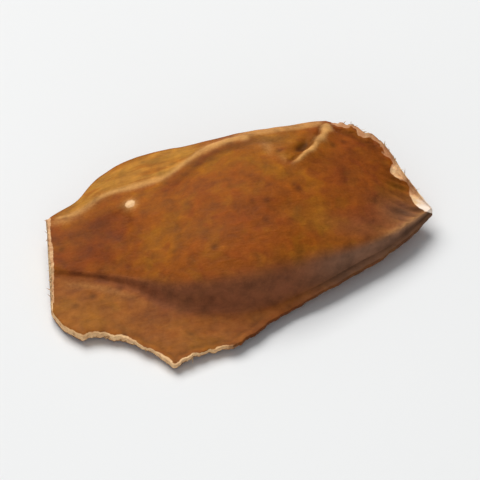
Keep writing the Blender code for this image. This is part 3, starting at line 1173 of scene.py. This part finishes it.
def blurred(values):
    """Values averaged with their neighbours round the section, over and over."""
    for _ in range(MARK_BLUR):
        values = (np.roll(values, 1, axis=1) + 2.0 * values + np.roll(values, -1, axis=1)) / 4.0
    return values


def relief(points):
    """Fine relief of the skin in millimetres along its normal, and its colour marks.

    The heights of the forms add up.  Where rubbed places and painted highlights
    overlap, the strongest one counts, and so it is where painted shades overlap.
    """
    station = stations()
    parts = part_masks()
    above = 1.0 - parts["belly"]
    near = {name: distance_to(points, points[:, line_column(name)]) for name in STARTS_AT}
    near["rim"] = distance_from_rim(points)
    torn = torn_places(points, near, parts)
    scar = parts["crown"] * oval(points[..., 0], points[..., 1], SCAR_AT, SCAR_SIZE)
    heights, rubs_and_highlights, shades = zip(
        split_form(points, parts), flake_form(points, parts), ridge_form(points, near, parts),
        tip_form(points, near, parts), strip_form(near, parts), scar_form(scar))
    height = coat_relief(points, parts) * (1.0 - TEAR_SMOOTHER * torn) + sum(heights)
    height = height + torn * (TEAR_ROUGHNESS * lumps(points, TEAR_GRAIN, CHANCE["torn grain"]) - TEAR_STEP)

    # Wall colour: its purplish coat with painted shade and a painted reflection of the pale floor; painted
    # shade darkens its upper part, and towards the tip a greyer tone stands for the floor's painted
    # reflection
    wall = WALL_COLOR_LEAST + (1.0 - WALL_COLOR_LEAST) * fade(station, WALL_COLOR_FROM)
    wall = parts["wall"] * wall
    upper = 1.0 - fade(parts["wall"] - way_along("wall"), WALL_SHADE_DOWN_TO)
    upper = wall * upper * (1.0 - fade(station, WALL_SHADE_ENDS))
    dusky = fade(station, DUSK_FROM)
    # The rub mark holds rubbed places and painted highlights; the shade mark is painted shade; the wall mark
    # is the wall's purplish coat with painted shade and a painted reflection of the pale floor, the dusk mark
    # a greyer tone of that reflection towards the tip; the dryness mark is dry torn tissue with its painted
    # highlight
    marks = {
        "pale": np.maximum(torn, fade(scar, SCAR_PALE_FROM)),
        "rub_and_highlight": strongest(*rubs_and_highlights, patches(points, RUB_PATCHES) * (parts["crown"] + parts["bevel"])),
        "shade": strongest(*shades, foot_shade(near, parts), patches(points, SHADE_PATCHES),
                           blurred(WALL_SHADE * upper)),
        "bevel": parts["bevel"] * stretch(station, *BEVEL_SPAN),
        "wall": blurred(wall),
        "flange": blurred(parts["flange"] * (1.0 - dusky)),
        "dusk": np.maximum(blurred((parts["wall"] + parts["flange"]) * dusky),
                           patches(points, DUSK_PATCHES) * above),
        "dry_glint": dryness_and_glint(points, near, scar),
        "cork": np.zeros_like(torn),
        "gold": patches(points, GOLD_PATCHES) * above,
        "red": patches(points, RED_PATCHES) * above,
    }
    return height, marks


def broken_end(rim):
    """Rings that close the broken end, from its middle out to just inside the rim.

    Each ring is the rim drawn in towards its middle; the face is hollowed a little
    and roughened with lumps of two sizes, like torn cork.
    """
    middle = rim.mean(axis=0)
    share = (np.arange(END_RINGS) / END_RINGS)[:, None, None]
    rings = middle + (rim - middle) * share
    inner = np.sin(math.pi * (1.0 - share[..., 0]) / 2.0)
    rough = sum(rise * lumps(rings, size, chance) for size, rise, chance in CORK_LUMPS)
    rings[..., 0] += END_HOLLOW * inner + rough * fade(inner, CORK_RISES)
    rings[0] = rings[0].mean(axis=0)
    return rings


def to_frame(points):
    """Millimetres of the tables to metres of the solid's frame, kept inside its box."""
    return np.clip((points - np.array(SOLID_MIDDLE)) * MM, SEED_LOW, SEED_HIGH)


def ring_faces(rows, turns, first):
    """Quads between the rows of a grid whose columns close up, from a first vertex number on."""
    row = np.arange(rows - 1)[:, None]
    turn = np.arange(turns)[None, :]
    after = (turn + 1) % turns
    low = first + row * turns
    quads = np.stack([low + turn, low + after, low + turns + after, low + turns + turn], axis=-1)
    return quads.reshape(-1, 4)


def fan_faces(turns, first, point, up):
    """Triangles from a ring that starts at a vertex number to a single point."""
    turn = first + np.arange(turns)
    after = first + (np.arange(turns) + 1) % turns
    tip = np.full(turns, point)
    return np.stack([tip, turn, after] if up else [tip, after, turn], axis=-1)


def make_mesh(name, corners, *faces):
    """Mesh of points in millimetres and any number of arrays of faces."""
    mesh = bpy.data.meshes.new(name)
    mesh.from_pydata(to_frame(corners).tolist(), [], [face for block in faces for face in block.tolist()])
    mesh.update()
    return mesh


def closed_mesh(name, grid):
    """Mesh of a grid whose first and last rows are points and whose columns close up."""
    rows, turns = grid.shape[:2]
    last = 1 + (rows - 2) * turns
    corners = np.concatenate([grid[:1, 0], grid[1:-1].reshape(-1, 3), grid[-1:, 0]])
    return make_mesh(name, corners, ring_faces(rows - 2, turns, 1),
                     fan_faces(turns, 1, 0, False), fan_faces(turns, last - turns, last, True))


def point_values(grid_values):
    """Values of a grid in the order of closed_mesh's vertices."""
    return np.concatenate([grid_values[:1, 0], grid_values[1:-1].ravel(), grid_values[-1:, 0]])


def repeated(faces, count, size):
    """Faces of one shape repeated for a number of shapes of so many vertices each."""
    return (faces[None] + size * np.arange(count)[:, None, None]).reshape(-1, faces.shape[1])


def face_outwards(mesh):
    """Turn the faces round if the mesh holds a negative volume."""
    count = len(mesh.vertices)
    corners = np.empty(count * 3)
    mesh.vertices.foreach_get("co", corners)
    corners = corners.reshape(-1, 3)
    mesh.calc_loop_triangles()
    triangles = np.empty(len(mesh.loop_triangles) * 3, dtype=np.int32)
    mesh.loop_triangles.foreach_get("vertices", triangles)
    a, b, c = (corners[triangles.reshape(-1, 3)[:, side]] for side in range(3))
    if np.einsum("ij,ij->", a, np.cross(b, c)) < 0.0:
        mesh.flip_normals()


def place_piece(name, mesh, material):
    """Object for a finished mesh, smooth, dressed and riding on the seed's body."""
    face_outwards(mesh)
    mesh.shade_smooth()
    mesh.materials.append(material)
    piece = bpy.data.objects.new(name, mesh)
    bpy.context.scene.collection.objects.link(piece)
    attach(piece, BODY)
    return piece


def fibre_mesh(name, starts, aims, bends, lengths, widths):
    """Mesh of tapering flat threads.

    Each thread leaves its start along its aim and bends with the square of the
    way gone; its section is a flat ring that widens and narrows like a sine.
    """
    way = np.linspace(0.0, 1.0, FIBRE_JOINTS)
    middle = (starts[:, None] + aims[:, None] * (lengths[:, None] * way)[..., None]
              + bends[:, None] * (lengths[:, None] * way ** 2)[..., None])
    tangent = unit(np.gradient(middle, axis=1))
    side = unit(np.cross(tangent, np.array(FIBRE_UPWARDS)))
    lift = np.cross(tangent, side)
    angle = 2.0 * math.pi * np.arange(FIBRE_SIDES) / FIBRE_SIDES
    taper = np.sin(math.pi * (FIBRE_TAPER[0] + FIBRE_TAPER[1] * way))
    size = widths[:, None, None, None] * taper[None, :, None, None] / 2.0
    ring = (np.cos(angle)[None, None, :, None] * side[:, :, None]
            + FIBRE_FLATNESS * np.sin(angle)[None, None, :, None] * lift[:, :, None])
    corners = middle[:, :, None] + ring * size
    count, block = len(starts), FIBRE_JOINTS * FIBRE_SIDES
    quads = repeated(ring_faces(FIBRE_JOINTS, FIBRE_SIDES, 0), count, block)
    turns = np.arange(FIBRE_SIDES)
    ends = repeated(np.stack([turns[::-1], block - FIBRE_SIDES + turns]), count, block)
    return make_mesh(name, corners.reshape(-1, 3), quads, ends)


def frayed_paths():
    """The torn front edge, the torn back edge and the rim as rows of points."""
    body = smooth_body()
    station = stations()[:, 0]
    front = (station > FRAY_ENDS[0]) & (station < FRONT_PALE_ENDS[0])
    back = (station > BACK_PALE_BEGINS[1]) & (station < FRAY_ENDS[1])
    return body[front, -COLUMNS["edge"] // 2], body[back, line_column("back")], body[0]


def chance_places(draw, path, count):
    """Chance places on a path, with the path's direction at each."""
    reach = draw.uniform(0.0, len(path) - SHORT_OF_END, count)
    low = reach.astype(int)
    step = path[low + 1] - path[low]
    return path[low] + step * (reach - low)[:, None], unit(step)


def crumb_mesh(name, middles, sizes):
    """Mesh of small uneven balls: stretched spheres with chance lumps, poles closed."""
    down = math.pi * np.arange(1, CRUMB_RINGS + 1) / (CRUMB_RINGS + 1)
    around = 2.0 * math.pi * np.arange(CRUMB_SIDES) / CRUMB_SIDES
    rings = np.stack([np.outer(np.sin(down), np.cos(around)), np.outer(np.sin(down), np.sin(around)),
                      np.outer(np.cos(down), np.ones(CRUMB_SIDES))], axis=-1).reshape(-1, 3)
    ball = np.concatenate([[[0.0, 0.0, 1.0]], rings, [[0.0, 0.0, -1.0]]])
    corners = middles[:, None] + ball[None] * sizes[:, None] / 2.0
    rough = CRUMB_ROUGHNESS * lumps(corners, CRUMB_LUMP, CHANCE["crumb lumps"])
    corners = corners + rough[..., None] * ball[None]
    count, block = len(middles), len(ball)
    sides = repeated(ring_faces(CRUMB_RINGS, CRUMB_SIDES, 1), count, block)
    tops = repeated(fan_faces(CRUMB_SIDES, 1, 0, False), count, block)
    ends = repeated(fan_faces(CRUMB_SIDES, block - 1 - CRUMB_SIDES, block - 1, True), count, block)
    return make_mesh(name, corners.reshape(-1, 3), sides, tops, ends)


class Wire:
    """A node's output, on which arithmetic adds Math nodes."""

    def __init__(self, nodes, socket):
        self.nodes = nodes
        self.socket = socket

    def _math(self, operation, *values, clamp=False):
        return self.nodes.add("ShaderNodeMath", {"operation": operation, "use_clamp": clamp},
                              dict(enumerate(values)))

    def __add__(self, other):
        return self._math("ADD", self, other)

    def __radd__(self, other):
        return self._math("ADD", other, self)

    def __sub__(self, other):
        return self._math("SUBTRACT", self, other)

    def __rsub__(self, other):
        return self._math("SUBTRACT", other, self)

    def __mul__(self, other):
        return self._math("MULTIPLY", self, other)

    def __rmul__(self, other):
        return self._math("MULTIPLY", other, self)

    def held(self):
        """The value kept between 0 and 1."""
        return self._math("ADD", self, 0.0, clamp=True)

    def ramp(self, low, high):
        """Smooth rise from 0 at low to 1 at high."""
        return self.nodes.add("ShaderNodeMapRange", {"interpolation_type": "SMOOTHSTEP"},
                              {"Value": self, "From Min": low, "From Max": high})


class Nodes:
    """Node maker for one material."""

    def __init__(self, name):
        self.material = bpy.data.materials.new(name)
        self.material.use_nodes = True
        self.tree = self.material.node_tree
        self.tree.nodes.clear()

    def add(self, kind, settings=None, sockets=None, output=0):
        """Node of a type with its settings, then its sockets' values or links; gives one output."""
        node = self.tree.nodes.new(kind)
        for name, value in (settings or {}).items():
            setattr(node, name, value)
        for key, value in (sockets or {}).items():
            socket = node.inputs[key]
            if isinstance(value, Wire):
                self.tree.links.new(value.socket, socket)
            elif socket.type == "RGBA":
                socket.default_value = (*value[:3], 1.0)
            else:
                socket.default_value = value
        return Wire(self, node.outputs[output]) if len(node.outputs) else None

    def place(self, size):
        """Object coordinates counted in the given sizes, one per axis, in millimetres."""
        source = self.add("ShaderNodeTexCoord", output="Object")
        scale = tuple(1.0 / (length * MM) for length in size)
        return self.add("ShaderNodeVectorMath", {"operation": "MULTIPLY"}, {0: source, 1: scale})

    def noise(self, size, detail=1.0, roughness=0.5, warp=0.0):
        """Noise from 0 to 1 with features of the given size per axis in millimetres."""
        return self.add("ShaderNodeTexNoise", {},
                        {"Vector": self.place(size), "Scale": 1.0, "Detail": detail,
                         "Roughness": roughness, "Distortion": warp})

    def spots(self, size):
        """Distance from the middles of scattered cells, 0 at a middle."""
        return self.add("ShaderNodeTexVoronoi", {"feature": "F1"},
                        {"Vector": self.place(size), "Scale": 1.0, "Randomness": 1.0})

    def mark(self, name):
        """A value painted on the piece's own vertices."""
        return self.add("ShaderNodeAttribute", {"attribute_name": name}, output="Fac")

    def mix(self, factor, first, second):
        """Colour mixed from the first to the second."""
        return self.add("ShaderNodeMix", {"data_type": "RGBA"}, {0: factor, 6: first, 7: second}, output=2)

    def toned(self, color, tone):
        """Colour made lighter or darker by a factor."""
        return self.add("ShaderNodeVectorMath", {"operation": "SCALE"}, {0: color, "Scale": tone})

    def finish(self, color, roughness, height, distance, specular):
        """Principled surface with a bump, joined to the material's output."""
        bump = self.add("ShaderNodeBump", {}, {"Height": height, "Distance": distance * MM, "Strength": 1.0})
        surface = self.add("ShaderNodeBsdfPrincipled", {},
                           {"Base Color": color, "Roughness": roughness, "Normal": bump,
                            "Specular IOR Level": specular})
        self.add("ShaderNodeOutputMaterial", {}, {"Surface": surface})
        return self.material


def varied(start, patterns, weights):
    """A value that varies with patterns: each adds its weight times its way from the middle, 0.5."""
    for name, weight in weights.items():
        start = start + weight * (patterns[name] - 0.5)
    return start


def coat_material(colors):
    """Papery brown coat: mottled and finely fibrous, rubbed on its ridges, pale where it is torn,
    with painted highlights, painted shade and a painted reflection of the floor.

    The tints lie over one another, each covering what is below it by a mark or a
    pattern times its share.  The tone that multiplies them is 1 plus the weighted
    patterns, darkened in dots and shaded places.
    """
    n = Nodes("papery_coat")
    patterns = {name: n.noise(*pattern) for name, pattern in COAT_PATTERNS.items()}

    def drawn_out(name):
        """A pattern with its contrast raised."""
        return patterns[name].ramp(*CONTRAST[name])

    def clouds(tint):
        """Broad clouds, small specks and painted patches of a tint."""
        broad, small = tint + " clouds", tint + " specks"
        return (COVER[broad] * drawn_out(broad) + COVER[small] * drawn_out(small) + n.mark(tint)).held()

    # The bevel's colours: its own streaks, lighter than the coat as painted light on a face that tilts to the
    # top light
    lit_streaked_bevel = n.mix(drawn_out("streaks"), colors.bevel, colors.bevel_light)
    lit_streaked_bevel = n.mix(COVER["olive"] * drawn_out("olive"), lit_streaked_bevel, colors.olive)
    # Rubbed places, with painted highlights on the ridge and on the flange beside the crease
    rub_and_highlight = n.mark("rub_and_highlight") + RUB_AND_HIGHLIGHT_MOTTLE * (patterns["mottle"] - 0.5) * n.mark("rub_and_highlight")
    rub_and_highlight = (rub_and_highlight + RUB_AND_HIGHLIGHT_GRAIN * (patterns["grain"] - 0.5)).ramp(*CONTRAST["rub_and_highlight"])
    color = colors.coat
    for cover, tint in (
            (clouds("gold"), colors.golden),
            (COVER["red"] * clouds("red"), colors.reddish),
            (n.mark("flange") * (FLANGE_COVER[0] + FLANGE_COVER[1] * patterns["flecks"]), colors.flange),
            # Wall tint: purplish coat with painted shade and a painted reflection of the pale floor
            (COVER["wall"] * n.mark("wall"), colors.wall),
            (COVER["bevel"] * n.mark("bevel"), lit_streaked_bevel),
            (COVER["rub_and_highlight"] * rub_and_highlight, colors.rub_and_highlight),
            # Greyer tone towards the tip: a painted reflection of the pale floor
            (COVER["dusk"] * n.mark("dusk"), colors.dusk)):
        color = n.mix(cover, color, tint)

    dots = (1.0 - n.spots(DOT_SPACING).ramp(*CONTRAST["dot"])) * drawn_out("dotted")
    tone = varied(1.0, patterns, TONE)
    tone = tone * (1.0 - (DOT_DARK - DOT_LESS_ON_WALL * n.mark("wall")) * dots)
    color = n.toned(color, tone * (1.0 - SHADE_DARK * n.mark("shade")))

    pale = varied(n.mark("pale"), patterns, PALE).ramp(*CONTRAST["pale"])
    # Dry torn tissue turns light and then white; these lightest tiers are partly painted highlight
    dry_glint = varied(n.mark("dry_glint"), patterns, DRY_GLINT)
    torn = n.mix(dry_glint.ramp(*CONTRAST["light"]), colors.torn, colors.torn_light)
    torn = n.mix(dry_glint.ramp(*CONTRAST["white"]), torn, colors.torn_white)
    torn = n.mix(COVER["torn gold"] * n.mark("gold"), torn, colors.rub_and_highlight)
    color = n.mix(pale, color, torn)
    color = n.mix(n.mark("cork"), color, n.mix(drawn_out("pits"), colors.cork_dark, colors.cork))

    roughness = varied(COAT_ROUGHNESS + TORN_ROUGHER * pale, patterns, ROUGHNESS).held()
    return n.finish(color, roughness, varied(0.0, patterns, BUMP), COAT_BUMP, COAT_SPECULAR)


def tissue_material(name, colors, size):
    """Dry inner tissue: straw to cream, matt and grainy."""
    n = Nodes(name)
    grain = n.noise((size,) * 3, *TISSUE_DETAIL)
    color = n.mix(grain.ramp(*TISSUE_CONTRAST), colors.cork_dark, colors.cork)
    torn = n.noise((TISSUE_PATCH,) * 3).ramp(*TISSUE_PATCH_CONTRAST)
    color = n.mix(TISSUE_PATCH_COVER * torn, color, colors.torn)
    roughness = (TISSUE_ROUGHNESS[0] + TISSUE_ROUGHNESS[1] * grain).held()
    return n.finish(color, roughness, grain, TISSUE_BUMP, TISSUE_SPECULAR)


def color_property(name, description, default):
    """A colour that a user may change."""
    return bpy.props.FloatVectorProperty(
        name=name, description=description, subtype="COLOR", size=3,
        min=0.0, max=1.0, default=default)


class SeedColors(bpy.types.PropertyGroup):
    """Colours of the seed's coat and of its torn places."""

    coat: color_property("Coat", "Main brown of the papery coat", (0.282, 0.068, 0.002))
    golden: color_property("Golden", "Golden patches of the coat", (0.325, 0.108, 0.003))
    reddish: color_property("Reddish", "Reddish patches of the coat", (0.218, 0.042, 0.004))
    flange: color_property("Flange", "Tan coat of the thin flange", (0.295, 0.108, 0.024))
    # The wall colour holds painted shade and a painted reflection of the pale floor as well as the purplish
    # coat
    wall: color_property("Wall", "Purplish coat of the steep front wall", (0.236, 0.078, 0.034))
    # A greyer tone: a painted reflection of the pale floor on the foot of the front
    dusk: color_property(
        "Dusk", "Greyer coat at the foot of the front, towards the tip", (0.245, 0.130, 0.078))
    # Bevel colours: streaked, and lighter than the coat as painted light on a face that tilts to the top
    # light
    bevel: color_property("Bevel", "Scuffed bevel behind the ridge", (0.362, 0.124, 0.011))
    bevel_light: color_property("Bevel, light", "Lightest streaks of the bevel", (0.462, 0.196, 0.026))
    olive: color_property("Olive", "Olive streaks of the bevel", (0.350, 0.168, 0.020))
    # Colour of rubbed places and of the painted highlights on the ridge and beside the crease
    rub_and_highlight: color_property("Worn", "Rubbed ridges and folds", (0.600, 0.300, 0.090))
    torn: color_property("Torn edge", "Inner layer where the coat is torn", (0.520, 0.240, 0.110))
    # The light and white torn colours are dry tissue and partly painted highlight
    torn_light: color_property("Torn edge, light", "Drier torn tissue", (0.900, 0.590, 0.310))
    torn_white: color_property("Torn edge, white", "Driest torn tissue", (0.960, 0.800, 0.670))
    cork: color_property("Cork", "Spongy tissue of the broken end", (0.680, 0.470, 0.250))
    cork_dark: color_property("Cork, dark", "Pits of the spongy tissue", (0.270, 0.130, 0.050))


class SeedShape(bpy.types.PropertyGroup):
    """Sizes of the seed's fine form."""

    relief: bpy.props.FloatProperty(
        name="Relief", description="Strength of swells, fibres, dents and folds",
        default=1.0, min=0.0, max=2.0)
    fibres: bpy.props.IntProperty(
        name="Loose fibres", description="Number of frayed fibres along the torn edges",
        default=70, min=1, max=600)
    fibre_length: bpy.props.FloatProperty(
        name="Fibre length", description="Usual length of a frayed fibre",
        default=0.0003, min=0.0, max=0.002, unit="LENGTH", precision=5)
    crumbs: bpy.props.IntProperty(
        name="Cork crumbs", description="Number of crumbs on the broken end",
        default=140, min=1, max=600)


class StageLight(bpy.types.PropertyGroup):
    """Light and camera of the plain stage."""

    key: bpy.props.FloatProperty(
        name="Top light", description="Power of the broad light above and behind",
        default=5.0, min=0.0, unit="POWER")
    fill: bpy.props.FloatProperty(
        name="Front fill", description="Power of the soft light in front",
        default=0.8, min=0.0, unit="POWER")
    room: bpy.props.FloatProperty(
        name="Room light", description="Brightness of the even light from all sides",
        default=0.25, min=0.0)
    azimuth: bpy.props.FloatProperty(
        name="Camera azimuth", description="Turn of the camera round the seed from the front",
        default=math.radians(-12.0), subtype="ANGLE")
    elevation: bpy.props.FloatProperty(
        name="Camera elevation", description="Height of the camera over the level",
        default=math.radians(45.0), subtype="ANGLE")


class SEED_OT_skin(bpy.types.Operator):
    """Make the seed's skin with its relief, torn edges and broken end"""

    bl_idname = "seed.skin"
    bl_label = "Seed Skin"

    def execute(self, context):
        smooth = smooth_body()
        height, marks = relief(smooth)
        body = smooth + outward(smooth) * (height * context.scene.seed_shape.relief)[..., None]
        end = broken_end(body[0])
        tip = np.broadcast_to(body[-1].mean(axis=0) + np.array([TIP_CAP, 0.0, 0.0]), body[:1].shape)
        mesh = closed_mesh("seed_skin", np.concatenate([end, body, tip]))
        for name, values in marks.items():
            at_end = np.full((END_RINGS, values.shape[1]), 1.0 if name == "cork" else 0.0)
            layer = mesh.attributes.new(name, "FLOAT", "POINT")
            whole = point_values(np.concatenate([at_end, values, values[-1:]]))
            layer.data.foreach_set("value", whole.astype(np.float32))
        piece = place_piece("seed_skin", mesh, coat_material(context.scene.seed_colors))
        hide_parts(NODE)
        return {"FINISHED"}


class SEED_OT_fibres(bpy.types.Operator):
    """Fray the torn edges with thin loose fibres"""

    bl_idname = "seed.fibres"
    bl_label = "Torn Fibres"

    def execute(self, context):
        shape = context.scene.seed_shape
        draw = np.random.default_rng(CHANCE["fibres"])
        starts, aims = [], []
        for path, (share, away) in zip(frayed_paths(), FRAYS):
            count = int(shape.fibres * share)
            place, tangent = chance_places(draw, path, count)
            starts.append(place)
            aims.append(FIBRE_AWAY * np.array(away)
                        + tangent * draw.uniform(-FIBRE_ALONG, FIBRE_ALONG, (count, 1)))
        starts = np.concatenate(starts)
        count = len(starts)
        aims = unit(np.concatenate(aims) + draw.normal(0.0, FIBRE_SCATTER, (count, 3)))
        bends = draw.normal(0.0, FIBRE_BEND, (count, 3))
        lengths = shape.fibre_length / MM * draw.uniform(*FIBRE_LENGTHS, count)
        widths = draw.uniform(*FIBRE_WIDTH, count)
        mesh = fibre_mesh("torn_fibres", starts - aims * FIBRE_ROOT, aims, bends, lengths, widths)
        place_piece("torn_fibres", mesh, tissue_material("dry_fibre", context.scene.seed_colors, FIBRE_GRAIN))
        return {"FINISHED"}


class SEED_OT_crumbs(bpy.types.Operator):
    """Cover the broken end with crumbs of cork"""

    bl_idname = "seed.crumbs"
    bl_label = "Cork Crumbs"

    def execute(self, context):
        draw = np.random.default_rng(CHANCE["crumbs"])
        count = context.scene.seed_shape.crumbs
        rings = broken_end(smooth_body()[0])
        ring = (np.sqrt(draw.uniform(*CRUMB_REACH, count)) * END_RINGS).astype(int)
        middles = rings[ring, draw.integers(0, rings.shape[1], count)]
        sizes = draw.uniform(*CRUMB_SIZE, (count, 1, 1)) * draw.uniform(*CRUMB_STRETCH, (count, 1, 3))
        mesh = crumb_mesh("cork_crumbs", middles, sizes)
        place_piece("cork_crumbs", mesh, tissue_material("cork", context.scene.seed_colors, CORK_GRAIN))
        return {"FINISHED"}


def aim(item, target):
    """Turn a light or camera so that it looks at a point."""
    direction = np.array(target) - np.array(item.location)
    flat = math.hypot(direction[0], direction[1])
    item.rotation_euler = (math.atan2(flat, -direction[2]), 0.0,
                           math.atan2(direction[1], direction[0]) - math.pi / 2.0)


def soft_light(name, power, size, location, color):
    """Square area light that looks at the seed."""
    light = bpy.data.lights.new(name, "AREA")
    light.energy = power
    light.size = size
    light.color = color
    item = bpy.data.objects.new(name, light)
    item.location = location
    aim(item, STAGE_TARGET)
    bpy.context.scene.collection.objects.link(item)


class SEED_OT_stage(bpy.types.Operator):
    """Set the plain pale floor, the soft lights and the camera"""

    bl_idname = "seed.stage"
    bl_label = "Stage"

    def execute(self, context):
        scene = context.scene
        light = scene.stage_light
        mesh = bpy.data.meshes.new("floor")
        corners = [(x * FLOOR_HALF, y * FLOOR_HALF, 0.0) for x, y in ((-1, -1), (1, -1), (1, 1), (-1, 1))]
        mesh.from_pydata(corners, [], [(0, 1, 2, 3)])
        n = Nodes("pale_floor")
        clouds = n.noise((FLOOR_CLOUDS,) * 3)
        color = n.mix(clouds.ramp(*FLOOR_CONTRAST), *FLOOR_TONES)
        mesh.materials.append(n.finish(color, FLOOR_ROUGHNESS, clouds, FLOOR_BUMP, FLOOR_SPECULAR))
        floor = bpy.data.objects.new("floor", mesh)
        scene.collection.objects.link(floor)

        soft_light("top_light", light.key, *TOP_LIGHT)
        soft_light("front_fill", light.fill, *FRONT_FILL)
        world = bpy.data.worlds.new("room")
        world.use_nodes = True
        background = world.node_tree.nodes["Background"]
        background.inputs["Color"].default_value = (*ROOM_COLOR, 1.0)
        background.inputs["Strength"].default_value = light.room
        scene.world = world

        lens = bpy.data.cameras.new("camera")
        lens.lens = CAMERA_LENS
        lens.sensor_width = CAMERA_SENSOR
        lens.clip_end = CAMERA_REACH
        camera = bpy.data.objects.new("camera", lens)
        level = CAMERA_DISTANCE * math.cos(light.elevation)
        camera.location = (STAGE_TARGET[0] + level * math.sin(light.azimuth),
                           STAGE_TARGET[1] - level * math.cos(light.azimuth),
                           STAGE_TARGET[2] + CAMERA_DISTANCE * math.sin(light.elevation))
        aim(camera, STAGE_TARGET)
        scene.collection.objects.link(camera)
        scene.camera = camera
        scene.view_settings.view_transform = "Standard"
        return {"FINISHED"}


class SEED_PT_panel(bpy.types.Panel):
    """The seed's pieces and their settings"""

    bl_label = "Mahogany Seed"
    bl_idname = "SEED_PT_panel"
    bl_space_type = "VIEW_3D"
    bl_region_type = "UI"
    bl_category = "Seed"

    def draw(self, context):
        layout = self.layout
        for group in (context.scene.seed_shape, context.scene.seed_colors, context.scene.stage_light):
            box = layout.box()
            for name in group.bl_rna.properties.keys():
                if name not in ("rna_type", "name"):
                    box.prop(group, name)
        for operator in (SEED_OT_skin, SEED_OT_fibres, SEED_OT_crumbs, SEED_OT_stage):
            layout.operator(operator.bl_idname)


CLASSES = (SeedColors, SeedShape, StageLight, SEED_OT_skin, SEED_OT_fibres,
           SEED_OT_crumbs, SEED_OT_stage, SEED_PT_panel)


def register():
    """Make the classes and their settings known."""
    for cls in CLASSES:
        bpy.utils.register_class(cls)
    bpy.types.Scene.seed_colors = bpy.props.PointerProperty(type=SeedColors)
    bpy.types.Scene.seed_shape = bpy.props.PointerProperty(type=SeedShape)
    bpy.types.Scene.stage_light = bpy.props.PointerProperty(type=StageLight)


def unregister():
    """Forget the settings and the classes."""
    del bpy.types.Scene.seed_colors
    del bpy.types.Scene.seed_shape
    del bpy.types.Scene.stage_light
    for cls in reversed(CLASSES):
        bpy.utils.unregister_class(cls)


def main():
    """Build the stage and the pieces."""
    register()
    bpy.ops.seed.stage()
    bpy.ops.seed.skin()
    bpy.ops.seed.fibres()
    bpy.ops.seed.crumbs()


if __name__ == "__main__":
    main()
